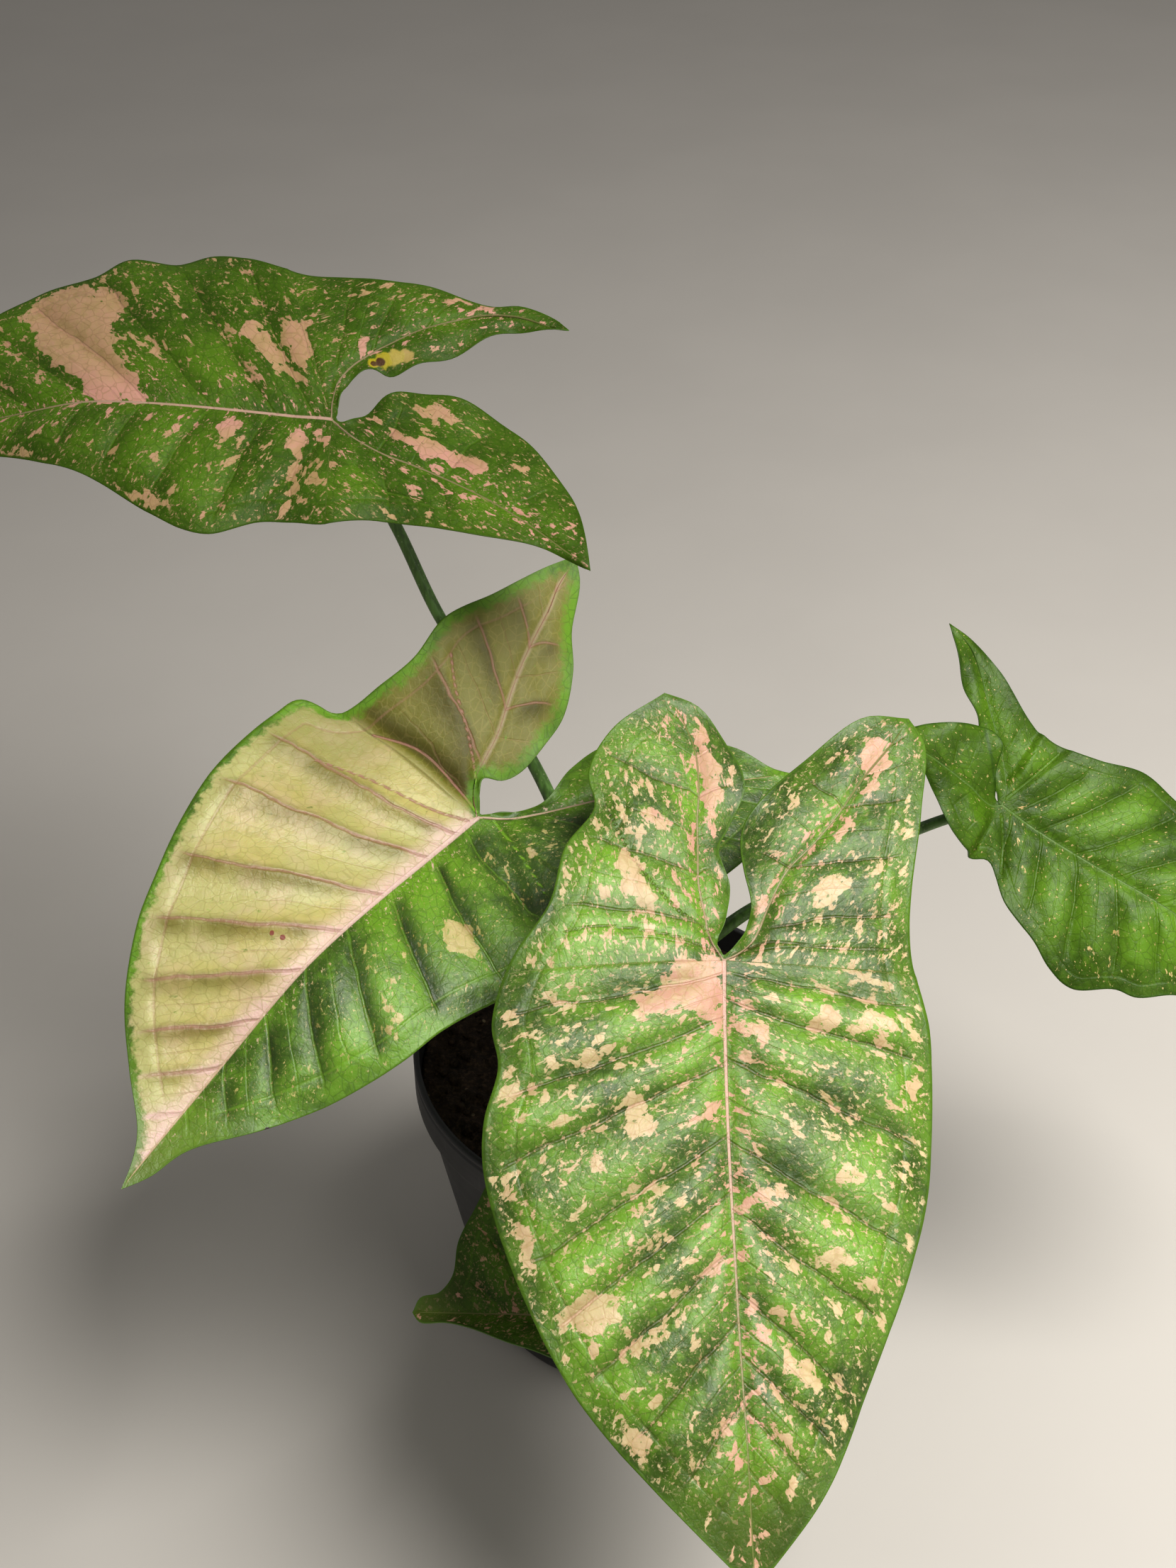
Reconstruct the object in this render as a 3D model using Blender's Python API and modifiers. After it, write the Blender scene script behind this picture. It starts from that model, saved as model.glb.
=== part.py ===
"""Potted arrowhead vine: five arrow-shaped leaves on arching stalks in a nursery pot.

Frame: metres, +Z up, origin at the centre of the pot's base, on the surface it stands on.
The front of the plant faces -Y. Leaf outlines are given in millimetres on each leaf's own
flat pattern: x across the blade, y from the stalk joint towards the tip, lobes at y < 0.
"""
import math

import bmesh
import bpy
import numpy as np
from mathutils import Vector

MM = 0.001
COLLECTION = "potted_syngonium"

# Pot
POT_HEIGHT = 90 * MM
POT_TOP_RADIUS = 52.5 * MM
POT_BASE_RADIUS = 37.5 * MM
POT_WALL = 1.6 * MM
RIM_BAND = 11 * MM
RIM_STEP = 1.8 * MM
RIM_EDGE = 0.5 * MM
BASE_EDGE_RADIUS = 3 * MM
BASE_EDGE_STEPS = 4
DRAIN_HOLES = 6
DRAIN_HOLE_RADIUS = 4.5 * MM
DRAIN_CIRCLE_RADIUS = 25 * MM
DRAIN_HOLE_SIDES = 20
POT_SEGMENTS = 48

# Soil
SOIL_LEVEL = 82 * MM
SOIL_LUMP = 1.1 * MM
SOIL_WAVES = (0.31, 0.27, 0.53)
SOIL_RINGS = 7
CLEARANCE = 0.3 * MM

# Stem: a centre line in millimetres and, at each point, the share of the full radius
STEM_FOOT_LEVEL = 58 * MM
STEM_RADIUS = 4.4 * MM
STEM_SAMPLES = 16
STEM_ROUTE = (
    (0.0, 0.0, 58.0, 1.0), (0.0, 0.0, 72.0, 1.0), (0.0, 0.0, 84.0, 1.0), (0.4, -0.2, 92.0, 0.97),
    (0.0, 0.2, 99.0, 0.86), (0.6, -0.2, 106.0, 0.64), (0.8, 0.2, 112.0, 0.36),
)

# Leaves
BLADE_THICKNESS = 0.7 * MM
MIDRIB_ROWS = 18
LOBE_ROWS = 10
LOBE_CROWDING = 1.4
COLUMNS = (0.0, 0.28, 0.56, 0.82, 1.0)
TIP_STRIP = 1.5
FOLD_SOFTNESS = 3.0
LIFT_START = 1.5
LIFT_LENGTH = 8.0
LIFT_SIDE = 2.0
WAVE_RUN_IN = 6.0
SPLINE_STEPS = 16
MARGIN_STEPS = 400
WELD = 0.02 * MM

# Each leaf: stalk joint, tip and facing direction (world, mm), then its pattern. "bow" is the
# sideways curve of the midrib, "fold" the slope of the halves, "lift" how far the left and the
# right lobe rise, "wave" the height and count of the margin's waves, "relief" heights (x, y, h).
# "outer" is the margin from the tip to the end of the lobe. "lobe" goes from the joint to the
# lobe's end, each row a point of the lobe's vein and the point of the inner margin beside it.
# "level" is the y at which the row from the joint meets the outer margin.
LEAVES = {
    "leaf_front": {
        "joint": (19, -51, 165), "tip": (23, -154, 103), "face": (0.17, -0.72, 0.69),
        "bow": 1.5, "fold": 0.10, "lift": (0.0, 0.0), "wave": (1.0, 4.0),
        "relief": ((0, 0, 0), (0, 60, 1), (0, 118, 0), (46, 25, -6), (-42, 25, -5), (30, 85, -5),
                   (-28, 85, -5), (8, -58, -8), (-42, -52, -6), (38, -20, -5), (-42, -15, -4)),
        "right": {
            "level": 3.0,
            "outer": ((0, 120.3), (5, 116), (19, 102), (34, 84), (43, 66), (50, 43), (50, 33),
                      (47, 22), (48, 13), (44, 0), (36, -12), (32, -25), (25, -35), (26, -43),
                      (20, -54), (8, -63)),
            "lobe": ((0, 0, 0, -1), (2, -3.5, 1, -4), (3, -9, -1, -9), (4, -17, -3, -17),
                     (3.5, -25, -1, -25), (3, -32, -4, -31), (2, -40, -8, -40), (2, -49, -6, -50),
                     (4, -56, 0, -60), (5.5, -59, 8, -63)),
        },
        "left": {
            "level": 3.0,
            "outer": ((0, 120.3), (-5, 115), (-14, 104), (-24, 86), (-34, 64), (-41, 43), (-43, 15),
                      (-41, 0), (-42, -16), (-46, -34), (-49, -51), (-46, -57)),
            "lobe": ((0, 0, 0, -1), (-3, -1.4, -2, -2.8), (-7, -5, -5, -6.5), (-11, -13, -7, -12),
                     (-15, -20, -6, -20), (-22, -27, -7, -31), (-28, -34, -12, -38), (-34, -42, -22, -47),
                     (-41, -50, -36, -57), (-44, -54, -46, -57)),
        },
    },
    "leaf_left": {
        "joint": (-34, -3, 164), "tip": (-103, -86, 135), "face": (-0.05, -0.62, 0.75),
        "bow": 3.0, "fold": 0.25, "lift": (0.0, 0.0), "wave": (0.8, 4.0),
        "relief": ((0, 0, 0), (0, 55, 7), (0, 110, 0), (48, 30, -4), (44, 3, -9), (-36, 30, -2),
                   (30, 80, -3), (-24, 75, -3), (26, -66, 2), (-50, -50, -8), (38, -25, 2),
                   (-42, -15, -3)),
        "right": {
            "level": 0.5,
            "outer": ((0, 111.8), (2.5, 106), (6, 101), (16, 93), (27, 83), (36, 70), (41, 59), (46, 46),
                      (49, 33), (50, 12), (49, 5), (40, 0), (37, -9), (35, -18), (36, -30), (32, -43),
                      (28, -57), (25, -65)),
            "lobe": ((0, 0, 0, -1), (3.4, -3, 2.4, -3.9), (6.8, -7.6, 5.4, -8.2), (8, -12, 2, -11.5),
                     (9.5, -18, 0, -17), (12, -24, 0.3, -25), (15, -31, 2, -34), (18, -40, 7, -43),
                     (20.5, -49, 14, -51), (23, -56, 20, -61), (24, -61, 25, -65)),
        },
        "left": {
            "level": 0.0,
            "outer": ((0, 111.8), (-2.6, 106), (-4.4, 98), (-13, 85), (-21, 70), (-26, 56), (-28, 45),
                      (-32, 33), (-40, 16), (-44, -2), (-49, -14), (-52, -26), (-53, -40),
                      (-51, -51), (-47, -57)),
            "lobe": ((0, 0, 0, -1), (-2.6, -2, -1.8, -3), (-5.5, -4.5, -4.5, -5.8), (-9, -8.5, -7, -9.5),
                     (-14, -15, -9, -14), (-19, -22, -8, -24), (-24, -28, -10, -33), (-31, -36, -20, -45),
                     (-37, -44, -32, -53), (-42, -50, -43, -55), (-44.5, -53, -47, -57)),
        },
    },
    "leaf_back_left": {
        "joint": (-66, 46, 238), "tip": (-171, 45, 237), "face": (0.0, -0.40, 0.92),
        "bow": 2.0, "fold": 0.14, "lift": (0.0, 0.0), "wave": (0.9, 5.0),
        "relief": ((0, 0, 0), (0, 55, 5), (0, 104, -2), (42, 30, -3), (-36, 30, -3), (28, 75, -5),
                   (-22, 75, -4), (28, -48, -5), (-40, -58, -8), (38, -20, -3), (-32, -15, -4)),
        "right": {
            "level": 12.0,
            "outer": ((0, 105), (4, 101), (16, 94), (27, 85), (34, 78), (41, 68), (43, 56), (47, 49),
                      (46, 38), (48, 30), (46, 22), (42, 12), (40, 0), (38, -12), (37, -22), (33, -35),
                      (33, -42), (29, -50), (26, -53)),
            "lobe": ((0, 0, 0, -1), (5, 0, 4, -1.5), (10, -0.8, 9, -2.4), (14.5, -3.8, 12, -5),
                     (18, -8, 14, -9), (21, -12.5, 13, -13), (25, -19, 16, -20), (28, -27, 20, -29),
                     (30, -35, 25.5, -38), (29.6, -42, 26.6, -45), (27.3, -48.6, 26, -53)),
        },
        "left": {
            "level": 0.0,
            "outer": ((0, 105), (-3, 100), (-6, 88), (-8, 74), (-13, 62), (-18, 50), (-26, 38), (-31, 30),
                      (-32, 24), (-28, 14), (-28, 7), (-29, 0), (-27, -10), (-28, -20), (-31, -33),
                      (-33, -46), (-39, -57)),
            "lobe": ((0, 0, 0, -1), (-2.6, -2.6, -0.6, -3.0), (-5.5, -6.4, 2.0, -6.8),
                     (-9, -12, 7, -12), (-12, -19, 9, -19),
                     (-16, -27, 7, -29), (-20, -34, 2, -38), (-25, -41, -7, -46), (-30, -47, -18, -53),
                     (-35, -52.5, -30, -56), (-36.5, -54.5, -39, -57)),
        },
    },
    "leaf_right": {
        "joint": (87, 9, 158), "tip": (163, -26, 122), "face": (-0.1, -0.5, 0.85),
        "bow": 1.0, "fold": 0.12, "lift": (-1.5, 3.5), "wave": (0.9, 4.0),
        "relief": ((0, 0, 0), (0, 45, 5), (0, 88, -4), (28, 32, -2), (-26, 30, -2), (18, 68, -4),
                   (-18, 68, -4), (0, -28, 6), (-29, -33, 2), (16, 0, -1), (-22, -5, 0)),
        "right": {
            "level": 0.0,
            "outer": ((0, 91), (6, 82), (12, 68), (16, 56), (22, 48), (23, 43), (28, 35), (27, 28),
                      (24, 22), (20, 12), (13, 4), (15, 0), (14, -7), (9, -15), (5, -22), (3, -30)),
            "lobe": ((0, 0, 0, -1), (1.6, -2, 0.7, -2.8), (2.2, -5.5, -1.5, -4.9), (2, -9, -6, -6.2),
                     (2, -12, -10.5, -8), (2, -15.5, -12, -12), (2.2, -19, -9, -18), (2.6, -23, -4, -25),
                     (2.8, -27, 3, -30)),
        },
        "left": {
            "level": 7.0,
            "outer": ((0, 91), (-4, 84), (-14, 68), (-22, 50), (-24, 35), (-26, 25), (-22, 14), (-20, 5),
                      (-20, 0), (-22, -7), (-27, -17), (-30, -27), (-30, -33)),
            "lobe": ((0, 0, 0, -1), (-3, -0.8, -1.3, -2.3), (-7, -3, -3, -4.6), (-11, -6.5, -6, -8),
                     (-15, -11, -10, -12), (-19, -15.5, -14, -15.5), (-24, -20.5, -18.5, -22),
                     (-27.6, -25, -23.5, -26.8), (-29.2, -30, -30, -33)),
        },
    },
    "leaf_low": {
        "joint": (11, -85, 86), "tip": (-47, -82, 91), "face": (0.0, -0.1, 1.0),
        "bow": 0.0, "fold": 0.85, "lift": (0.0, 0.0), "wave": (0.6, 3.0),
        "relief": ((0, 0, 0), (0, 30, 3), (0, 57, -1), (20, 20, 0), (-20, 20, 0)),
        "right": {
            "level": 2.0,
            "outer": ((0, 58.3), (3, 57), (4, 53), (7, 50.5), (13, 50), (19, 47), (24, 44), (29, 34),
                      (31, 22), (29, 10), (27, 0), (25, -9), (22, -19), (18, -27)),
            "lobe": ((0, 0, 0, -1), (2.8, -2, 1.6, -3), (6, -5.5, 3.6, -7), (9, -11, 6, -14),
                     (13, -18, 11, -22), (16, -24, 18, -27)),
        },
        "left": {
            "level": 2.0,
            "outer": ((0, 58.3), (-3, 56), (-3, 51), (-5, 46), (-9, 39), (-13, 30), (-20, 20), (-24, 10),
                      (-25, 0), (-24, -9), (-22, -19), (-18, -27)),
            "lobe": ((0, 0, 0, -1), (-2.8, -2, -1.6, -3), (-6, -5.5, -3.6, -7), (-9, -11, -6, -14),
                     (-13, -18, -11, -22), (-16, -24, -18, -27)),
        },
    },
}

# Leaf stalks: centre lines in millimetres with the radius at each point, from the stem to a few
# millimetres behind the leaf's joint, where they turn up into it. The thick foot is the sheath.
STALKS = {
    "stalk_front": {
        "leaf": "leaf_front",
        "route": ((3.2, -4.8, 95, 2.6), (4.6, -8, 106, 2.2), (6, -13.5, 115, 1.9),
                  (8.5, -21.5, 127, 1.65),
                  (12.2, -32, 141.5, 1.5), (15.6, -42, 154.6, 1.4)),
    },
    "stalk_left": {
        "leaf": "leaf_left",
        "route": ((-5.4, -1.6, 88, 2.6), (-7.6, -0.6, 100, 2.2), (-8.6, 3, 112, 1.9),
                  (-8.8, 7.5, 123, 1.75),
                  (-13, 11.3, 138, 1.6), (-20.6, 9.4, 151, 1.5), (-28.5, 3.6, 158.8, 1.4)),
    },
    "stalk_back_left": {
        "leaf": "leaf_back_left",
        "route": ((-0.9, 5.6, 93, 2.6), (-2.2, 9, 106, 2.2), (-6.6, 14.5, 121, 1.9),
                  (-13, 19.5, 137, 1.75),
                  (-21, 25.5, 155, 1.6), (-30.6, 30.1, 172.5, 1.5), (-43.3, 34.9, 193.2, 1.4),
                  (-52.3, 39.7, 214, 1.35), (-61, 44.4, 230, 1.3)),
    },
    "stalk_right": {
        "leaf": "leaf_right",
        "route": ((5.5, 1.2, 91, 2.6), (8.2, 2.4, 102, 2.2), (13, 4, 112.5, 1.9),
                  (21.5, 5.7, 120.2, 1.75),
                  (30.3, 7.4, 127.2, 1.6), (50.1, 9.1, 139.2, 1.45), (68.6, 10.2, 150, 1.35),
                  (80, 11.4, 154, 1.3)),
    },
    "stalk_low": {
        "leaf": "leaf_low",
        "route": ((-1.8, -5.3, 88, 2.3), (-2.2, -9.2, 97, 1.9), (-1.4, -19, 105.5, 1.7),
                  (0.5, -33, 108.5, 1.5),
                  (3.5, -49, 105, 1.4), (6.8, -63, 96, 1.3), (9.4, -76, 86.2, 1.25)),
    },
}
STALK_TURN = 3.4
STALK_END = 0.72
STALK_SAMPLES = 26
STALK_CROWDING = 1.4
STALK_SIDES_RESOLUTION = 2

COLOURS = {
    "pot": (0.018, 0.018, 0.019, 0.55),
    "soil": (0.055, 0.036, 0.024, 0.95),
    "stem": (0.16, 0.30, 0.07, 0.5),
    "stalk": (0.13, 0.27, 0.06, 0.45),
    "leaf": (0.09, 0.24, 0.05, 0.38),
    "cream": (0.36, 0.42, 0.14, 0.42),
}


def collection(name):
    """A new collection in the scene."""
    made = bpy.data.collections.new(name)
    bpy.context.scene.collection.children.link(made)
    return made


def material(name, colour):
    """A Principled material; colour is red, green, blue and roughness."""
    made = bpy.data.materials.new(name)
    made.use_nodes = True
    shader = made.node_tree.nodes["Principled BSDF"]
    shader.inputs["Base Color"].default_value = (*colour[:3], 1.0)
    shader.inputs["Roughness"].default_value = colour[3]
    shader.inputs["Metallic"].default_value = 0.0
    return made


def add(name, data, place, look=None):
    """An object for this mesh or curve, in the given collection, with its material."""
    made = bpy.data.objects.new(name, data)
    place.objects.link(made)
    if look is not None:
        data.materials.append(look)
    return made


def as_cutter(shape):
    """Marks a shape that only cuts others."""
    shape.hide_render = True
    shape.display_type = "WIRE"
    return shape


def cut(target, cutter):
    """Takes the cutter's volume out of the target."""
    boolean = target.modifiers.new("cut_" + cutter.name, "BOOLEAN")
    boolean.operation = "DIFFERENCE"
    boolean.solver = "EXACT"
    boolean.object = cutter


def even(count):
    """Shares of a length, evenly spaced from 0 to 1."""
    return np.linspace(0.0, 1.0, count)


def smooth_line(points, shares):
    """Points at these shares of the length of a centripetal spline through the given points."""
    knots = np.array(points, float)
    ends = np.vstack([2 * knots[0] - knots[1], knots, 2 * knots[-1] - knots[-2]])
    fine = [knots[:1]]
    steps = even(SPLINE_STEPS + 1)[1:, None]
    for a, b, c, d in zip(ends, ends[1:], ends[2:], ends[3:]):
        ab, bc, cd = (max(np.linalg.norm(q - p), 1e-6) ** 0.5 for p, q in ((a, b), (b, c), (c, d)))
        slope_b = ((b - a) / ab - (c - a) / (ab + bc) + (c - b) / bc) * bc
        slope_c = ((c - b) / bc - (d - b) / (bc + cd) + (d - c) / cd) * bc
        cubic = 2 * b - 2 * c + slope_b + slope_c
        square = 3 * c - 3 * b - 2 * slope_b - slope_c
        fine.append(b + steps * slope_b + steps ** 2 * square + steps ** 3 * cubic)
    fine = np.vstack(fine)
    run = np.append(0.0, np.cumsum(np.linalg.norm(np.diff(fine, axis=0), axis=1)))
    return np.column_stack([np.interp(shares * run[-1], run, axis) for axis in fine.T])


def thin_plate(knots, x, y):
    """Height of the smoothest sheet through the knots (x, y, height) at the given places."""
    spots = np.array(knots, float)

    def bend(distance):
        safe = np.maximum(distance, 1e-9)
        return safe * safe * np.log(safe)

    size = len(spots)
    apart = np.hypot(spots[:, None, 0] - spots[None, :, 0], spots[:, None, 1] - spots[None, :, 1])
    flat = np.column_stack([np.ones(size), spots[:, :2]])
    system = np.block([[bend(apart), flat], [flat.T, np.zeros((3, 3))]])
    weight = np.linalg.solve(system, np.append(spots[:, 2], np.zeros(3)))
    away = np.hypot(x[..., None] - spots[:, 0], y[..., None] - spots[:, 1])
    return bend(away) @ weight[:size] + weight[size] + weight[size + 1] * x + weight[size + 2] * y


def leaf_axes(leaf):
    """The joint, the three axes of the leaf's pattern (across, along, out) and its length."""
    joint = np.array(leaf["joint"], float)
    reach = np.array(leaf["tip"], float) - joint
    length = np.linalg.norm(reach)
    along = reach / length
    face = np.array(leaf["face"], float)
    out = face - (face @ along) * along
    out /= np.linalg.norm(out)
    return joint, np.cross(along, out), along, out, length


def leaf_surface(leaf, side, x, y, edge, turn):
    """World place in mm of pattern point (x, y) on one half of a leaf.

    side is +1 or -1, edge is 0 on the ribs and 1 on the margin, turn runs 0 to 1 along the margin
    to the lobe's tip and 1 to 2 back to the sinus. The height out of the pattern is the thin plate
    through the relief, plus the fold along the bowed midrib, the rise of the lobe and the waves.
    """
    joint, across, along, out, length = leaf_axes(leaf)
    share = np.clip(y / length, 0.0, 1.0)
    from_rib = x - leaf["bow"] * 4 * share * (1 - share)
    height = thin_plate(leaf["relief"], x, y)
    height += leaf["fold"] * (np.sqrt(from_rib ** 2 + FOLD_SOFTNESS ** 2) - FOLD_SOFTNESS)
    behind = np.clip((np.hypot(x, y) - LIFT_START) / LIFT_LENGTH, 0.0, 1.0)
    behind *= np.clip(-y / LIFT_SIDE, 0.0, 1.0)
    height += leaf["lift"][0 if side < 0 else 1] * behind * behind * (3 - 2 * behind)
    size, count = leaf["wave"]
    calm = np.clip(np.minimum(turn, 2 - turn) * WAVE_RUN_IN, 0.0, 1.0)
    height += size * calm * edge ** 3 * np.sin(2 * math.pi * count * turn + side)
    return joint + x[..., None] * across + y[..., None] * along + height[..., None] * out


def half_pattern(leaf, side):
    """Two grids of one half: the outer blade, then the strip inside the lobe.

    Each is (ribs, margin, turn). A row runs straight from the midrib, or from the lobe's vein,
    to the margin. Both grids have the same points on the vein, so they weld there.
    """
    length = leaf_axes(leaf)[4]
    half = leaf["right" if side > 0 else "left"]
    closer = even(LOBE_ROWS + 1) ** LOBE_CROWDING
    fine = smooth_line(half["outer"], even(MARGIN_STEPS))
    level = int(np.argmax(fine[:, 1] <= half["level"]))
    to_level = smooth_line(fine[:level + 1], even(MIDRIB_ROWS + 1))
    to_lobe = smooth_line(fine[level:], closer)
    margin = np.vstack([to_level, to_lobe[1:]])
    down = np.linspace(length - TIP_STRIP, 0.0, MIDRIB_ROWS + 1)
    share = down / length
    midrib = np.column_stack([leaf["bow"] * 4 * share * (1 - share), down])
    margin[0] = (0.0, length)
    midrib[0, 0] = 0.0
    lobe = smooth_line(half["lobe"], closer)
    vein, inner = lobe[:, :2], lobe[:, 2:]
    outer = (np.vstack([midrib, vein[1:]]), margin, even(len(margin)))
    return outer, (vein, inner, 2.0 - even(LOBE_ROWS + 1))


def turned_area(a, b, c):
    """Signed area of the flat triangle a, b, c."""
    return 0.5 * ((b - a)[0] * (c - a)[1] - (b - a)[1] * (c - a)[0])


def split(spots, a, b, c, d):
    """The two triangles of quad a, b, c, d, along the diagonal that keeps both well open."""
    choices = (((a, b, c), (a, c, d)), ((a, b, d), (b, c, d)))
    worth = [abs(sum(np.sign(turned_area(*(spots[i] for i in face))) for face in faces))
             + min(abs(turned_area(*(spots[i] for i in face))) for face in faces) for faces in choices]
    return choices[int(worth[1] > worth[0])]


def blade_mesh(name, leaf):
    """The blade as one thin sheet: four grids of triangles between ribs and margin, welded."""
    corners, faces = [], []
    edge = np.array(COLUMNS)
    for side in (1, -1):
        for ribs, margin, turn in half_pattern(leaf, side):
            flat = ribs[:, None] + (margin - ribs)[:, None] * edge[:, None]
            along = np.broadcast_to(turn[:, None], flat.shape[:2])
            places = leaf_surface(leaf, side, flat[..., 0], flat[..., 1], edge, along) * MM
            rows, columns = flat.shape[:2]
            first = len(corners)
            corners.extend(places.reshape(-1, 3))
            spots = flat.reshape(-1, 2)
            for row in range(rows - 1):
                for column in range(columns - 1):
                    a = row * columns + column
                    for face in split(spots, a, a + 1, a + columns + 1, a + columns):
                        faces.append([first + corner for corner in face])
    sheet = bpy.data.meshes.new(name)
    sheet.from_pydata([tuple(corner) for corner in corners], [], faces)
    work = bmesh.new()
    work.from_mesh(sheet)
    bmesh.ops.remove_doubles(work, verts=work.verts, dist=WELD)
    bmesh.ops.recalc_face_normals(work, faces=work.faces)
    out = Vector(leaf_axes(leaf)[3])
    if sum((face.normal * face.calc_area() for face in work.faces), Vector()).dot(out) < 0:
        bmesh.ops.reverse_faces(work, faces=work.faces)
    work.to_mesh(sheet)
    work.free()
    return sheet


def make_leaf(name, leaf, parts, look):
    """The blade: its sheet with half the thickness to each side."""
    sheet = blade_mesh(name, leaf)
    sheet.shade_smooth()
    blade = add(name, sheet, parts, look)
    solid = blade.modifiers.new("thickness", "SOLIDIFY")
    solid.thickness = BLADE_THICKNESS
    solid.offset = 0.0
    solid.use_even_offset = False


def stalk_end(leaf):
    """The last two points of a stalk: it turns up into the blade, square to it, at the joint."""
    x = np.array([0.0, 0.5, 0.0])
    y = np.array([0.0, 0.0, 0.5])
    here, across, along = leaf_surface(leaf, 1, x, y, np.zeros(3), np.ones(3) * 0.5)
    out = np.cross(across - here, along - here)
    out /= np.linalg.norm(out)
    return [(*(here - depth * out),) for depth in (STALK_TURN, STALK_END)]


def rod(name, route, shares, place, look=None, extra=0.0):
    """A round rod along a smooth route (x, y, z, radius in mm), as a mesh with welded ends."""
    line = smooth_line(route, shares)
    curve = bpy.data.curves.new(name, "CURVE")
    curve.dimensions = "3D"
    curve.bevel_depth = 1.0
    curve.bevel_resolution = STALK_SIDES_RESOLUTION
    curve.use_fill_caps = True
    spline = curve.splines.new("POLY")
    spline.points.add(len(line) - 1)
    for point, (x, y, z, radius) in zip(spline.points, line):
        point.co = (x * MM, y * MM, z * MM, 1.0)
        point.radius = (radius * MM) + extra
    guide = add(name + "_guide", curve, place)
    bpy.context.view_layer.update()
    seen = guide.evaluated_get(bpy.context.evaluated_depsgraph_get())
    mesh = bpy.data.meshes.new_from_object(seen)
    mesh.name = name
    work = bmesh.new()
    work.from_mesh(mesh)
    bmesh.ops.remove_doubles(work, verts=work.verts, dist=WELD)
    work.to_mesh(mesh)
    work.free()
    made = add(name, mesh, place, look)
    made.matrix_world = guide.matrix_world
    bpy.data.objects.remove(guide)
    mesh.shade_smooth()
    mesh.set_sharp_from_angle(angle=math.radians(40))
    return made


def turned(name, profile, place, look=None):
    """A body turned round Z from (radius, height) points, down its outer side."""
    mesh = bpy.data.meshes.new(name)
    corners = [(radius, 0.0, height) for radius, height in profile]
    mesh.from_pydata(corners, [(i, i + 1) for i in range(len(corners) - 1)], [])
    made = add(name, mesh, place, look)
    screw = made.modifiers.new("turn", "SCREW")
    screw.steps = POT_SEGMENTS
    screw.render_steps = POT_SEGMENTS
    screw.use_merge_vertices = True
    screw.merge_threshold = WELD / 2
    screw.use_smooth_shade = True
    return made


def wall_radius(height):
    """Outer radius of the pot's straight wall at a height."""
    top = POT_TOP_RADIUS - RIM_STEP
    return POT_BASE_RADIUS + (top - POT_BASE_RADIUS) * height / POT_HEIGHT


def make_pot(parts, cutters, look):
    """The thin-walled nursery pot: floor, tapered wall, turned-out rim band, drain holes."""
    floor = POT_WALL
    band = POT_HEIGHT - RIM_BAND
    profile = [
        (0.0, floor), (POT_BASE_RADIUS - BASE_EDGE_RADIUS, floor),
        (wall_radius(BASE_EDGE_RADIUS) - POT_WALL, BASE_EDGE_RADIUS),
        (wall_radius(band) - POT_WALL, band),
        (POT_TOP_RADIUS - POT_WALL, band + RIM_STEP),
        (POT_TOP_RADIUS - POT_WALL, POT_HEIGHT - RIM_EDGE),
        (POT_TOP_RADIUS - POT_WALL + RIM_EDGE, POT_HEIGHT),
        (POT_TOP_RADIUS - RIM_EDGE, POT_HEIGHT), (POT_TOP_RADIUS, POT_HEIGHT - RIM_EDGE),
        (POT_TOP_RADIUS, band), (wall_radius(band), band),
    ]
    for angle in even(BASE_EDGE_STEPS + 1) * math.pi / 2:
        profile.append((POT_BASE_RADIUS - BASE_EDGE_RADIUS * (1 - math.cos(angle)),
                        BASE_EDGE_RADIUS * (1 - math.sin(angle))))
    profile.append((0.0, 0.0))
    pot = turned("pot", profile, parts, look)
    for hole in range(DRAIN_HOLES):
        angle = 2 * math.pi * hole / DRAIN_HOLES
        bpy.ops.mesh.primitive_cylinder_add(
            vertices=DRAIN_HOLE_SIDES, radius=DRAIN_HOLE_RADIUS, depth=8 * POT_WALL,
            location=(DRAIN_CIRCLE_RADIUS * math.cos(angle), DRAIN_CIRCLE_RADIUS * math.sin(angle), 0.0))
        cutter = bpy.context.object
        cutter.name = f"drain_{hole + 1}"
        move_to(cutter, cutters)
        cut(pot, as_cutter(cutter))
    return pot


def move_to(shape, place):
    """Takes an object out of its collections and puts it in this one."""
    for old in list(shape.users_collection):
        old.objects.unlink(shape)
    place.objects.link(shape)


def make_soil(parts, look, hole):
    """The soil that fills the pot, with a lumpy top and a plain hole for the stem."""
    inside = POT_WALL + CLEARANCE
    band = POT_HEIGHT - RIM_BAND
    top = POT_TOP_RADIUS - inside
    profile = [(top * share, SOIL_LEVEL) for share in even(SOIL_RINGS + 1)]
    profile += [
        (top, band + RIM_STEP + CLEARANCE), (wall_radius(band) - inside, band + CLEARANCE),
        (wall_radius(BASE_EDGE_RADIUS) - inside, BASE_EDGE_RADIUS + CLEARANCE),
        (POT_BASE_RADIUS - BASE_EDGE_RADIUS - CLEARANCE, inside), (0.0, inside),
    ]
    soil = turned("soil", profile, parts, look)
    bpy.context.view_layer.update()
    seen = soil.evaluated_get(bpy.context.evaluated_depsgraph_get())
    mesh = bpy.data.meshes.new_from_object(seen)
    long, cross, slant = SOIL_WAVES
    for vertex in mesh.vertices:
        x, y, z = vertex.co / MM
        out = math.hypot(x, y)
        if z > SOIL_LEVEL / MM - 0.1 and out < top / MM - 1:
            lump = math.sin(long * x + 1.7) * math.cos(cross * y) + 0.6 * math.sin(slant * (x - y))
            vertex.co.z += SOIL_LUMP * lump
    soil.modifiers.clear()
    soil.data = mesh
    cut(soil, hole)
    return soil


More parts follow.
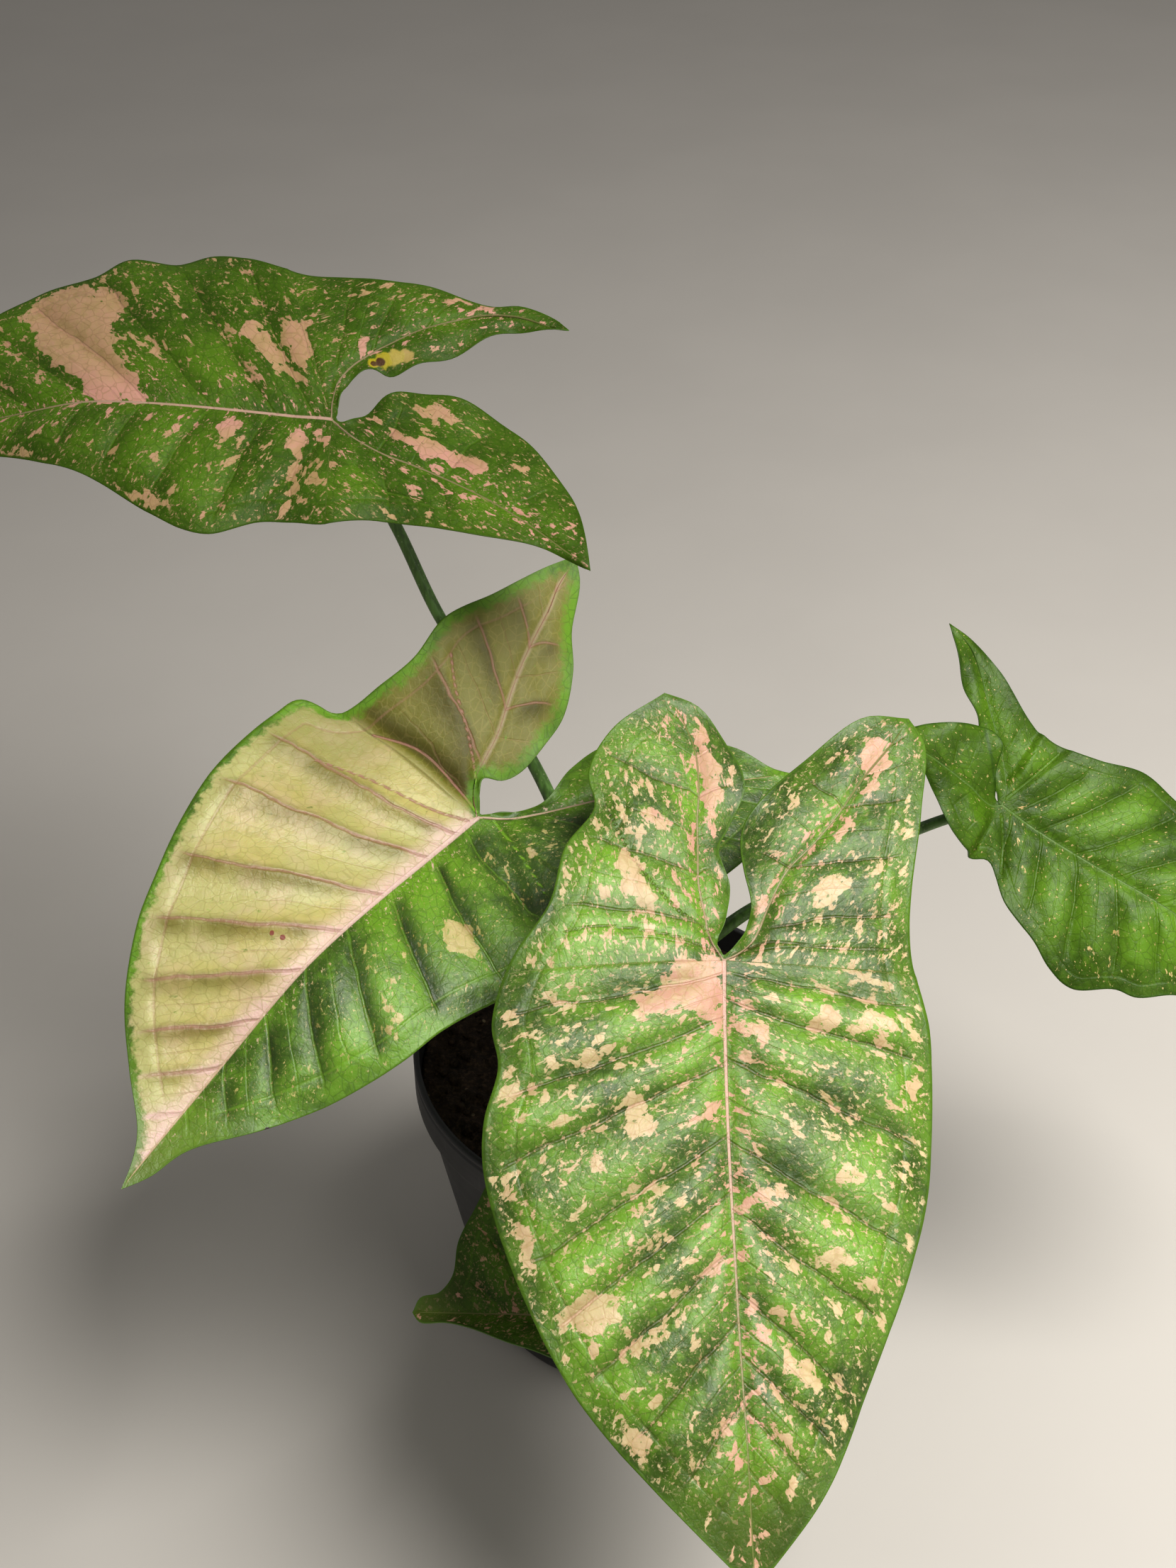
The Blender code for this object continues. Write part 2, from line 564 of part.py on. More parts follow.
def make_plant(parts, cutters):
    """Stem, stalks and leaves; returns the hole that the stem needs in the soil."""
    green = material("leaf_green", COLOURS["leaf"])
    cream = material("leaf_cream", COLOURS["cream"])
    stalk_look = material("stalk_green", COLOURS["stalk"])
    thick = [(x, y, z, share * STEM_RADIUS / MM) for x, y, z, share in STEM_ROUTE]
    rings = even(STEM_SAMPLES)
    rod("stem", thick, rings, parts, material("stem_green", COLOURS["stem"]))
    stem_room = as_cutter(rod("room_stem", thick, rings, cutters, extra=CLEARANCE))
    closer = 1.0 - (1.0 - even(STALK_SAMPLES)) ** STALK_CROWDING
    for name, leaf in LEAVES.items():
        make_leaf(name, leaf, parts, cream if name == "leaf_left" else green)
    for name, stalk in STALKS.items():
        top = stalk["route"][-1][3]
        ends = [(*place, top) for place in stalk_end(LEAVES[stalk["leaf"]])]
        made = rod(name, [*stalk["route"], *ends], closer, parts, stalk_look)
        cut(made, stem_room)
    bottom, middle, top = STEM_FOOT_LEVEL - 1 * MM, SOIL_LEVEL - 8 * MM, POT_HEIGHT
    hole_route = [(0.0, 0.0, level / MM, STEM_RADIUS / MM) for level in (bottom, middle, top)]
    return as_cutter(rod("stem_hole", hole_route, even(6), cutters, extra=CLEARANCE))


def main():
    for old in list(bpy.data.objects):
        bpy.data.objects.remove(old)
    parts = collection(COLLECTION)
    cutters = collection("cutters")
    make_pot(parts, cutters, material("pot_plastic", COLOURS["pot"]))
    hole = make_plant(parts, cutters)
    make_soil(parts, material("potting_soil", COLOURS["soil"]), hole)


main()
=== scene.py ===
"""Looks of the potted syngonium: blades, stalks, stem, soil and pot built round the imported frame.

Every shape is worked out in millimetres and goes into its mesh in metres, in the frame's axes:
+Z up, the front of the plant towards -Y, the pot's base centre at the origin.
"""

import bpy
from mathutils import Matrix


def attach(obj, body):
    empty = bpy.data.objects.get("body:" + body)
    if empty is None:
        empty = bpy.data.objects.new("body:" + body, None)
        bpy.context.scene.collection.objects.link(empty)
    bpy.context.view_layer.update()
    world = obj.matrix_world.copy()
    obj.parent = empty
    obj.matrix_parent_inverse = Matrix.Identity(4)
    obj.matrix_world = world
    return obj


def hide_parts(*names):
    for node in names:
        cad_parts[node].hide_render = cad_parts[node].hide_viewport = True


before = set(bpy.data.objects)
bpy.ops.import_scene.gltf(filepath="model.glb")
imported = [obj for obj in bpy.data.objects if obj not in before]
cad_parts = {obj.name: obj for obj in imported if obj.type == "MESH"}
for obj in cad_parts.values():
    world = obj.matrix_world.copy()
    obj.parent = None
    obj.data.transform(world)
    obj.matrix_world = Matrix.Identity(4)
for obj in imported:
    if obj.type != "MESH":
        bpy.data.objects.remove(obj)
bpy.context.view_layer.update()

import math

import bpy
import numpy as np
from bpy.props import FloatProperty, FloatVectorProperty, IntProperty, PointerProperty
from mathutils import Vector

bl_info = {
    "name": "Potted syngonium looks",
    "version": (1, 0, 0),
    "blender": (4, 5, 0),
    "location": "View3D > Sidebar > Syngonium",
    "description": "Builds the visible pieces of a potted arrowhead vine",
    "category": "Object",
}

MM = 0.001

# The camera: the photograph's height and focal length in pixels, the sensor's height in mm, its place in
# metres, and its tilt in degrees up from straight down. The floor's half side, in metres.
PHOTO_HEIGHT, FOCAL_PIXELS, SENSOR = 2212, 2800, 36.0
CAMERA_PLACE, CAMERA_TILT = (-0.009, -0.3506, 0.4453), 52
FLOOR_REACH = 30.0

# Rows along a tube or out over a surface, and points round it.
STALK_ROWS, STALK_SIDES = 170, 36
STEM_ROWS, STEM_SIDES = 150, 48
SOIL_RINGS, SOIL_SIDES = 66, 220
CRUMB_ROWS, CRUMB_SIDES = 5, 10
POT_FLOOR_ROWS, SIDES_PER_HOLE = 5, 24

# Points of a spline from knot to knot, of a margin, and of a pale or sunk line. The distance to a margin
# is taken from one of its points in six.
SPLINE_STEPS, MARGIN_POINTS, MARGIN_SKIP, LINE_POINTS = 17, 600, 6, 24

# In mm: the pot's floor has a hub inside the drain holes, and ends where the rounded foot starts. The
# soil keeps a gap to the pot, and its ground dips under its level. Places nearer than the weld are one.
# A stalk's last points lie this deep under the upper face of its blade.
HUB_RADIUS, FOOT, SOIL_GAP, SOIL_DIP, WELD = 14.0, 3.0, 0.35, 0.6, 0.002
STALK_END_DEPTHS = (3.4, 0.35)
CRUMB_SEED = 7

# The blades' flat patterns, as in the part's source, in mm: x across, y from the joint to the tip, lobes
# at y < 0. face: the way the blade faces. bow: the midrib's bow. fold: how steeply the halves rise from
# it. lift: rise of the left and the right lobe. wave: height and number of the margin's waves. relief:
# (x, y, height) of the bent sheet. outer: the margin from the tip to the lobe's end. level: the y where
# the rows stop at the midrib and start at the lobe's rib. lobe: rib and inner margin (x, y, x, y).
LEAVES = {
    "leaf_front": {
        "joint": (19, -51, 165), "tip": (23, -154, 103), "face": (0.17, -0.72, 0.69),
        "bow": 1.5, "fold": 0.10, "wave": (1.0, 4.0),
        "relief": ((0, 0, 0), (0, 60, 1), (0, 95, 0), (0, 120, -5), (46, 25, -6), (-42, 25, -5), (30, 85, -5),
                   (-28, 85, -5), (8, -58, -8), (-42, -52, -6), (38, -20, -5), (-42, -15, -4)),
        "right": {
            "level": 3.0,
            "outer": ((0, 120.3), (5, 116), (19, 102), (34, 84), (43, 66), (50, 43), (50, 33),
                      (47, 22), (48, 13), (44, 0), (36, -12), (32, -25), (25, -35), (26, -43),
                      (20, -54), (8, -63)),
            "lobe": ((0, 0, 0, -1), (2, -3.5, 1, -4), (3, -9, -1, -9), (4, -17, -3, -17),
                     (3.5, -25, -1, -25), (3, -32, -4, -31), (2, -40, -8, -40), (2, -49, -6, -50),
                     (4, -56, 0, -60), (5.5, -59, 8, -63)),
        },
        "left": {
            "level": 3.0,
            "outer": ((0, 120.3), (-5, 115), (-14, 104), (-24, 86), (-34, 64), (-41, 43), (-43, 15),
                      (-41, 0), (-42, -16), (-46, -34), (-49, -51), (-46, -57)),
            "lobe": ((0, 0, 0, -1), (-3, -1.4, -2, -2.8), (-7, -5, -5, -6.5), (-11, -13, -7, -12),
                     (-15, -20, -6, -20), (-22, -27, -7, -31), (-28, -34, -12, -38), (-34, -42, -22, -47),
                     (-41, -50, -36, -57), (-44, -54, -46, -57)),
        },
    },
    "leaf_left": {
        "joint": (-34, -3, 164), "tip": (-103, -86, 135), "face": (-0.05, -0.62, 0.75),
        "bow": 3.0, "fold": 0.25, "wave": (0.8, 4.0),
        "relief": ((0, 0, 0), (0, 55, 7), (0, 110, 0), (48, 30, -4), (44, 3, -9), (-36, 30, -2),
                   (30, 80, -3), (-24, 75, -3), (26, -66, 2), (-50, -50, -8), (38, -25, 2), (-42, -15, -3)),
        "right": {
            "level": 0.5,
            "outer": ((0, 111.8), (2.5, 106), (6, 101), (16, 93), (27, 83), (36, 70), (41, 59), (46, 46),
                      (49, 33), (50, 12), (49, 5), (40, 0), (37, -9), (35, -18), (36, -30), (32, -43),
                      (28, -57), (25, -65)),
            "lobe": ((0, 0, 0, -1), (3.4, -3, 2.4, -3.9), (6.8, -7.6, 5.4, -8.2), (8, -12, 2, -11.5),
                     (9.5, -18, 0, -17), (12, -24, 0.3, -25), (15, -31, 2, -34), (18, -40, 7, -43),
                     (20.5, -49, 14, -51), (23, -56, 20, -61), (24, -61, 25, -65)),
        },
        "left": {
            "level": 0.0,
            "outer": ((0, 111.8), (-2.6, 106), (-4.4, 98), (-13, 85), (-21, 70), (-26, 56), (-28, 45),
                      (-32, 33), (-40, 16), (-44, -2), (-49, -14), (-52, -26), (-53, -40), (-51, -51),
                      (-47, -57)),
            "lobe": ((0, 0, 0, -1), (-2.6, -2, -1.8, -3), (-5.5, -4.5, -4.5, -5.8), (-9, -8.5, -7, -9.5),
                     (-14, -15, -9, -14), (-19, -22, -8, -24), (-24, -28, -10, -33), (-31, -36, -20, -45),
                     (-37, -44, -32, -53), (-42, -50, -43, -55), (-44.5, -53, -47, -57)),
        },
    },
    "leaf_back_left": {
        "joint": (-66, 46, 238), "tip": (-171, 45, 237), "face": (0.0, -0.40, 0.92),
        "bow": 2.0, "fold": 0.14, "wave": (0.9, 5.0),
        "relief": ((0, 0, 0), (0, 55, 5), (0, 104, -2), (42, 30, -3), (-36, 30, -3), (28, 75, -5),
                   (-22, 75, -4), (28, -48, -5), (-40, -58, -8), (38, -20, -3), (-32, -15, -4)),
        "right": {
            "level": 12.0,
            "outer": ((0, 105), (4, 101), (16, 94), (27, 85), (34, 78), (41, 68), (43, 56), (46.8, 49),
                      (45.7, 38), (47.7, 30), (45.8, 22), (42, 12), (40, 0), (38, -12), (37, -22), (33, -35),
                      (33, -42), (29, -50), (26, -53)),
            "lobe": ((0, 0, 0, -1), (5, 0, 4, -1.5), (10, -0.8, 9, -2.4), (14.5, -3.8, 12, -5),
                     (18, -8, 14, -9), (21, -12.5, 13, -13), (25, -19, 16, -20), (28, -27, 20, -29),
                     (30, -35, 25.5, -38), (29.6, -42, 26.6, -45), (27.3, -48.6, 26, -53)),
        },
        "left": {
            "level": 0.0,
            "outer": ((0, 105), (-3, 100), (-6, 88), (-8, 74), (-13, 62), (-18, 50), (-26, 38), (-31, 30),
                      (-32, 24), (-28, 14), (-28, 7), (-29, 0), (-27, -10), (-28, -20), (-31, -33),
                      (-33, -46), (-39, -57)),
            "lobe": ((0, 0, 0, -1), (-2.6, -2.6, -0.6, -3.0), (-5.5, -6.4, 2.0, -6.8), (-9, -12, 7, -12),
                     (-12, -19, 9, -19), (-16, -27, 7, -29), (-20, -34, 2, -38), (-25, -41, -7, -46),
                     (-30, -47, -18, -53), (-35, -52.5, -30, -56), (-36.5, -54.5, -39, -57)),
        },
    },
    "leaf_right": {
        "joint": (87, 9, 158), "tip": (163, -26, 122), "face": (-0.1, -0.5, 0.85),
        "bow": 1.0, "fold": 0.12, "lift": (-1.5, 3.5), "wave": (0.9, 4.0),
        "relief": ((0, 0, 0), (0, 45, 5), (0, 88, -4), (28, 32, -2), (-26, 30, -2), (18, 68, -4),
                   (-18, 68, -4), (0, -28, 6), (-29, -33, 2), (16, 0, -1), (-22, -5, 0)),
        "right": {
            "level": 0.0,
            "outer": ((0, 91), (6, 82), (12, 68), (16, 56), (22, 48), (23, 43), (28, 35), (27, 28),
                      (24, 22), (20, 12), (13, 4), (15, 0), (14, -7), (9, -15), (5, -22), (3, -30)),
            "lobe": ((0, 0, 0, -1), (1.6, -2, -0.9, -2.5), (2.2, -5.5, -3.4, -4.7), (2, -9, -6.6, -6.4),
                     (2, -12, -10.5, -8), (2, -15.5, -12, -12), (2.2, -19, -9, -18), (2.6, -23, -4, -25),
                     (2.8, -27, 3, -30)),
        },
        "left": {
            "level": 7.0,
            "outer": ((0, 91), (-4, 84), (-14, 68), (-22, 50), (-24, 35), (-26, 25), (-22, 14), (-20, 5),
                      (-20, 0), (-22, -7), (-27, -17), (-30, -27), (-30, -33)),
            "lobe": ((0, 0, 0, -1), (-3, -0.8, -1.3, -2.3), (-7, -3, -3, -4.6), (-11, -6.5, -6, -8),
                     (-15, -11, -10, -12), (-19, -15.5, -14, -15.5), (-24, -20.5, -18.5, -22),
                     (-27.6, -25, -23.5, -26.8), (-29.2, -30, -30, -33)),
        },
    },
    "leaf_low": {
        "joint": (11, -85, 86), "tip": (-47, -82, 91), "face": (0.0, -0.1, 1.0),
        "bow": 0.0, "fold": 0.85, "wave": (0.6, 3.0),
        "relief": ((0, 0, 0), (0, 30, 3), (0, 57, -1), (20, 20, 0), (-20, 20, 0)),
        "right": {
            "level": 2.0,
            "outer": ((0, 58.3), (3, 57), (4, 53), (7, 50.5), (13, 50), (19, 47), (24, 44), (29, 34),
                      (31, 22), (29, 10), (27, 0), (25, -9), (22, -19), (18, -27)),
            "lobe": ((0, 0, 0, -1), (2.8, -2, 1.6, -3), (6, -5.5, 3.6, -7), (9, -11, 6, -14),
                     (13, -18, 11, -22), (16, -24, 18, -27)),
        },
        "left": {
            "level": 2.0,
            "outer": ((0, 58.3), (-3, 56), (-3, 51), (-5, 46), (-9, 39), (-13, 30), (-20, 20), (-24, 10),
                      (-25, 0), (-24, -9), (-22, -19), (-18, -27)),
            "lobe": ((0, 0, 0, -1), (-2.8, -2, -1.6, -3), (-6, -5.5, -3.6, -7), (-9, -11, -6, -14),
                     (-13, -18, -11, -22), (-16, -24, -18, -27)),
        },
    },
}

# Veins and small relief. starts: where side veins leave the ribs, in mm from the joint (into the lobe
# negative), on the right and the left half. drift: how much they slant, at the joint and added towards
# the tip. grain: direction of the flecks in degrees, at the joint and added towards the tip. quilt: share
# of the quilting, and pleat what it is times on the right half. band and droop: width of the marginal
# band and how far it hangs. branches: pale lines at the joint. creases: sunk lines, their depth and width.
VEINS = {
    "leaf_front": {
        "starts": ((-58, -38, -20, -8, 2.5, 12, 21, 36, 47, 58, 72, 87, 99, 110),
                   (-66, -46, -27, -11, 2, 8, 20, 37, 51, 67, 78, 88, 99, 110)),
        "drift": (0.35, 0.6), "grain": (16, 32), "quilt": 1.5, "band": 6.5, "droop": 0.9,
        "branches": (((3, -7), (10, -12), (18, -23), (23, -36)), ((1, -2), (10, -5), (24, -7), (33, -6)),
                     ((-2, -1), (-9, -4), (-22, -3), (-36, -3))),
    },
    "leaf_left": {
        "starts": ((-60, -44, -28, -13, 6, 15, 29, 42, 55, 68, 80, 92, 103),
                   (-64, -48, -31, -13, 4, 14, 27, 41, 54, 66, 79, 91, 102)),
        "drift": (0.75, 0.25), "grain": (42, 6), "quilt": 1.05, "pleat": -1.35, "band": 6.0, "droop": 0.8,
        "branches": (((6, -7), (15, -14), (23, -19), (30, -25)), ((1, -1), (8, -3), (20, -4), (31, 0)),
                     ((1, 2), (10, 6), (24, 10), (36, 15)), ((-3, -2), (-12, 1), (-24, 6))),
        "creases": ((((3, -2), (19, -4), (31, -0.5), (42, 2)), 1.3, 2.2),
                    (((-6, 1), (-15, 6), (-24, 13)), 0.8, 2.0)),
    },
    "leaf_back_left": {
        "starts": ((-52, -36, -21, -9, 3, 12, 26, 40, 52, 66, 78, 90),
                   (-64, -46, -29, -13, 3, 13, 26, 40, 53, 66, 78, 90)),
        "drift": (0.5, 0.3), "grain": (27, 12), "quilt": 1.0, "band": 5.0, "droop": 0.7,
        "branches": (((-13, -6), (-19, -12), (-22, -21)), ((3, 1), (12, 4), (25, 8)),
                     ((-3, 1), (-12, 5), (-22, 13))),
    },
    "leaf_right": {
        "starts": ((-30, -23, -15, -8, 3, 11, 20, 30, 40, 50, 60, 71, 81),
                   (-38, -29, -20, -11, 3, 10, 20, 30, 41, 51, 62, 72, 82)),
        "drift": (0.6, 0.3), "grain": (38, 8), "quilt": 1.4, "band": 3.0, "droop": 0.2,
        "branches": (((-2, 0), (-8, 2), (-18, 5)), ((2, 1), (8, 5), (14, 8))),
    },
    "leaf_low": {
        "starts": ((-30, -20, -10, 2, 10, 19, 28, 38, 47, 54), (-30, -20, -10, 2, 10, 19, 28, 38, 47, 54)),
        "drift": (0.6, 0.3), "grain": (35, 10), "quilt": 0.7, "band": 3.5, "droop": 0.3,
        "branches": (((2, 0), (8, 2), (18, 4)), ((-2, 0), (-8, 2), (-18, 4))),
    },
}

# The largest pale patches, in mm of the flat pattern. Ovals: middle x and y, half length, half width,
# turn in degrees, pink in ninths. Outlines: pink in ninths, corners. Smaller ones are random flecks.
PATCHES = {
    "leaf_front": ((
        (12.5, -32, 4, 1.5, -35, 8), (17.5, -28, 4, 1, -60, 3), (34.5, 9, 5.5, 1.5, -25, 2),
        (29.5, 21, 2.5, 2, 5, 2), (41, 27, 3, 1, 5, 3), (19.5, 32.5, 5, 3, -75, 2),
        (6.5, 32.5, 5.5, 1.5, 25, 7), (45.5, 45, 3, 1.5, 70, 1), (28.5, 41.5, 2.5, 1.5, 35, 3),
        (17.5, 47, 5, 1, 25, 2), (42, 57, 7, 1.5, -80, 1), (20, 58, 4, 1, 40, 4), (6, 62, 3.5, 1, 40, 6),
        (29.5, 70, 6, 4, 25, 1), (19, 75, 11, 1, 30, 3), (22, 93.5, 4.5, 2, -60, 2),
        (5, 90.5, 4, 1, 35, 5), (-28, -30, 4, 1, 60, 6), (-41, -29.5, 3, 1, 60, 3),
        (-34, -20.5, 4, 1, 40, 2), (-24, -15.5, 6, 2.5, 40, 3), (-8.5, -12, 3.5, 1.5, 80, 3),
        (-28.5, 3.5, 2.5, 1.5, 5, 1), (-5, 15, 4.5, 2, -40, 6), (-20.5, 12.5, 4, 2.5, 30, 3),
        (-31, 13, 4.5, 2.5, -5, 2), (-38, 26.5, 2, 2, 20, 1), (-12, 33.5, 2.5, 1.5, -40, 3),
        (-23, 44.5, 3, 2, -30, 2), (-1, 43, 3.5, 1, -40, 8), (-4, 49, 6.5, 1.5, 15, 5),
        (-18.5, 60.5, 5, 2, -10, 1), (-13.5, 72, 3, 1, -60, 2), (-2.5, 74.5, 3, 1.5, -35, 4),
        (-10.5, 81.5, 6, 2, -40, 2),
    ), (
        (5, ((1.5, -59), (0, -58), (-1, -51.5), (-2.5, -46.5), (-3.5, -40), (-2, -37), (-1, -33.5),
            (0.5, -32), (1.5, -35), (1.5, -40), (2, -44.5), (4, -45.5), (1.5, -49), (1.5, -53.5))),
        (2, ((21, -24), (19, -24.5), (16, -22), (15, -16), (13.5, -12), (12, -7.5), (14, -8), (16.5, -10.5),
            (19, -13.5), (21, -18.5), (21.5, -21.5))),
        (8, ((14, 3), (11.5, 1), (7, -0.5), (3, -1), (0.5, 1), (0.5, 10.5), (1.5, 14), (2.5, 16.5),
            (4.5, 14.5), (3.5, 12.5), (7.5, 12), (5.5, 11), (12, 11.5), (18.5, 13), (18, 10.5), (20, 10),
            (20, 8), (14, 5), (12.5, 3.5))),
        (2, ((-34, -52), (-38.5, -51), (-42, -51), (-41, -48.5), (-39, -44.5), (-36.5, -40), (-33.5, -36.5),
            (-32, -34), (-34.5, -39), (-35.5, -41.5), (-33.5, -42.5), (-35, -45), (-33.5, -48.5))),
    )),
    "leaf_left": ((
        (-17, 27, 5, 3.5, -10, 2), (-19, 51, 4.5, 1, -40, 2), (-16, 0, 1.5, 2, 20, 4),
    ), (
    )),
    "leaf_back_left": ((
        (12, 18.5, 3.5, 1, 30, 6), (17, 39.5, 4.5, 1, 25, 6), (20.5, 73.5, 6, 1, 40, 7),
        (19.5, -6.5, 2.5, 1.5, -30, 8), (33.5, -27, 4, 1, 90, 4), (-4.5, 22, 3.5, 2, -30, 6),
        (-7.5, 7, 4.5, 2, 0, 7), (-17, 7, 4.5, 1.5, 0, 4), (-6, 1.5, 4, 1, 10, 5), (3, -23, 5.5, 2, 70, 1),
        (-23, 38.5, 7, 1, 65, 3), (-10, 67.5, 7, 1, 60, 3),
    ), (
        (5, ((41.5, 62.5), (39.5, 57), (23, 50), (19.5, 49.5), (9, 43), (2, 40), (1.5, 52), (6.5, 55),
            (15.5, 63), (24, 68.5), (34, 73), (37, 71), (39.5, 66.5))),
        (4, ((39.5, 57), (37, 51), (28.5, 46), (30, 50), (20.5, 49), (30.5, 53.5))),
        (5, ((25.5, 20.5), (25, 17.5), (21, 14), (14.5, 10.5), (10, 7), (8, 5.5), (9.5, 8.5), (12.5, 11.5),
            (15.5, 16), (19, 19), (21, 21))),
        (6, ((22.5, 12.5), (27.5, 12), (25.5, 9.5), (27, 6.5), (26.5, 6), (19, 5), (9, 5.5), (14, 8),
            (17.5, 10.5), (20.5, 11.5))),
        (5, ((-2, -12), (-2, -14.5), (-3.5, -18.5), (-6, -25), (-9.5, -31.5), (-10, -34.5), (-14.5, -34),
            (-12.5, -29), (-10, -24), (-9.5, -20.5), (-6.5, -17), (-5.5, -13), (-4, -12.5))),
    )),
}

# Centre lines of the stalks and the stem with the radius at each point, as in the part's source.
STALKS = {
    "stalk_front": ("leaf_front", (
        (3.2, -4.8, 95, 2.6), (4.6, -8, 106, 2.2), (6, -13.5, 115, 1.9), (8.5, -21.5, 127, 1.65),
        (12.2, -32, 141.5, 1.5), (15.6, -42, 154.6, 1.4))),
    "stalk_left": ("leaf_left", (
        (-5.4, -1.6, 88, 2.6), (-7.6, -0.6, 100, 2.2), (-8.6, 3, 112, 1.9), (-8.8, 7.5, 123, 1.75),
        (-13, 11.3, 138, 1.6), (-20.6, 9.4, 151, 1.5), (-28.5, 3.6, 158.8, 1.4))),
    "stalk_back_left": ("leaf_back_left", (
        (-0.9, 5.6, 93, 2.6), (-2.2, 9, 106, 2.2), (-6.6, 14.5, 121, 1.9), (-13, 19.5, 137, 1.75),
        (-21, 25.5, 155, 1.6), (-30.6, 30.1, 172.5, 1.5), (-43.3, 34.9, 193.2, 1.4),
        (-52.3, 39.7, 214, 1.35), (-61, 44.4, 230, 1.3))),
    "stalk_right": ("leaf_right", (
        (5.5, 1.2, 91, 2.6), (8.2, 2.4, 102, 2.2), (13, 4, 112.5, 1.9), (21.5, 5.7, 120.2, 1.75),
        (30.3, 7.4, 127.2, 1.6), (50.1, 9.1, 139.2, 1.45), (68.6, 10.2, 150, 1.35), (80, 11.4, 154, 1.3))),
    "stalk_low": ("leaf_low", (
        (-1.8, -5.3, 88, 2.3), (-2.2, -9.2, 97, 1.9), (-1.4, -19, 105.5, 1.7), (0.5, -33, 108.5, 1.5),
        (3.5, -49, 105, 1.4), (6.8, -63, 96, 1.3), (9.4, -76, 86.2, 1.25))),
}
CREAM_LEAF = "leaf_left"                # its right half is cream

STEM_ROUTE = (
    (0.0, 0.0, 70.0, 4.4), (0.0, 0.0, 84.0, 4.4), (0.4, -0.2, 92.0, 4.27),
    (0.0, 0.2, 99.0, 3.78), (0.6, -0.2, 106.0, 2.82), (0.8, 0.2, 112.0, 1.6),
)


# Sizes and colours that a user would change

class BladeLook(bpy.types.PropertyGroup):
    """Sizes, grids and colours of the leaf blades"""
    thickness: FloatProperty(
        name="Blade thickness", description="Thickness of the blade between its veins",
        default=0.42 * MM, unit="LENGTH")
    rim_thickness: FloatProperty(
        name="Margin thickness", description="Thickness at the margin",
        default=0.24 * MM, unit="LENGTH")
    quilting: FloatProperty(
        name="Quilting", description="Height of the blade between two side veins",
        default=1.15 * MM, unit="LENGTH")
    midrib_rows: IntProperty(
        name="Rows on the midrib", description="Grid rows from the tip to the joint",
        default=112)
    lobe_rows: IntProperty(
        name="Rows on a lobe", description="Grid rows from the joint to a lobe's end",
        default=60)
    columns: IntProperty(name="Columns", description="Grid columns from a rib to the margin", default=58)
    green: FloatVectorProperty(
        name="Green", description="Green of the blade",
        subtype="COLOR", default=(0.080, 0.175, 0.008))
    light_green: FloatVectorProperty(
        name="Light green", description="Lighter green of young tissue",
        subtype="COLOR", default=(0.175, 0.355, 0.018))
    cream: FloatVectorProperty(
        name="Cream", description="Cream of the patches",
        subtype="COLOR", default=(0.60, 0.475, 0.215))
    pink: FloatVectorProperty(
        name="Pink", description="Pink of the ribs and patches",
        subtype="COLOR", default=(0.66, 0.36, 0.27))


class StalkLook(bpy.types.PropertyGroup):
    """Looks of the stalks and the stem"""
    green: FloatVectorProperty(
        name="Stalk green", description="Green of the leaf stalks",
        subtype="COLOR", default=(0.10, 0.20, 0.045))
    foot: FloatVectorProperty(
        name="Foot", description="Paler green of the sheathing foot",
        subtype="COLOR", default=(0.27, 0.34, 0.12))
    groove: FloatProperty(
        name="Groove", description="Share of the radius that the upper groove is deep",
        default=0.16, subtype="FACTOR")


class PotLook(bpy.types.PropertyGroup):
    """Sizes and colour of the pot"""
    height: FloatProperty(name="Height", description="Height of the pot", default=90 * MM, unit="LENGTH")
    top_radius: FloatProperty(
        name="Rim radius", description="Outer radius of the rim band",
        default=52.5 * MM, unit="LENGTH")
    base_radius: FloatProperty(
        name="Base radius", description="Outer radius of the base",
        default=37.5 * MM, unit="LENGTH")
    wall: FloatProperty(name="Wall", description="Wall thickness", default=1.6 * MM, unit="LENGTH")
    band: FloatProperty(
        name="Rim band", description="Height of the rim band",
        default=11 * MM, unit="LENGTH")
    step: FloatProperty(
        name="Rim step", description="How far the rim band stands out",
        default=1.8 * MM, unit="LENGTH")
    drains: IntProperty(name="Drain holes", description="Holes in the pot's floor", default=6)
    drain_radius: FloatProperty(
        name="Drain radius", description="Radius of a drain hole",
        default=4.5 * MM, unit="LENGTH")
    drain_ring: FloatProperty(
        name="Drain ring", description="Radius of the ring of holes",
        default=25 * MM, unit="LENGTH")
    colour: FloatVectorProperty(
        name="Plastic", description="Colour of the pot",
        subtype="COLOR", default=(0.012, 0.012, 0.0125))


class SoilLook(bpy.types.PropertyGroup):
    """Looks of the soil"""
    level: FloatProperty(
        name="Level", description="Height of the soil's top",
        default=82 * MM, unit="LENGTH")
    crumbs: IntProperty(name="Crumbs", description="Loose crumbs on the soil", default=520)
    colour: FloatVectorProperty(
        name="Soil", description="Colour of damp soil",
        subtype="COLOR", default=(0.035, 0.021, 0.013))


class StageLook(bpy.types.PropertyGroup):
    """Colour of the floor and strengths of the lights"""
    floor: FloatVectorProperty(
        name="Floor", description="Colour of the floor",
        subtype="COLOR", default=(0.56, 0.53, 0.49))
    key: FloatProperty(name="Key light", description="Power of the large soft light", default=11.0)
    fill: FloatProperty(name="Ambient", description="Strength of the light all round", default=0.29)


SCENE_LOOKS = {"plant_blade": BladeLook, "plant_stalk": StalkLook, "plant_pot": PotLook,
               "plant_soil": SoilLook, "plant_stage": StageLook}


# Shapes

def even(count):
    """Shares of a length, evenly spaced from 0 to 1."""
    return np.linspace(0.0, 1.0, count)


def round_angles(count):
    """Angles evenly spaced round a circle."""
    return np.arange(count) * 2 * math.pi / count


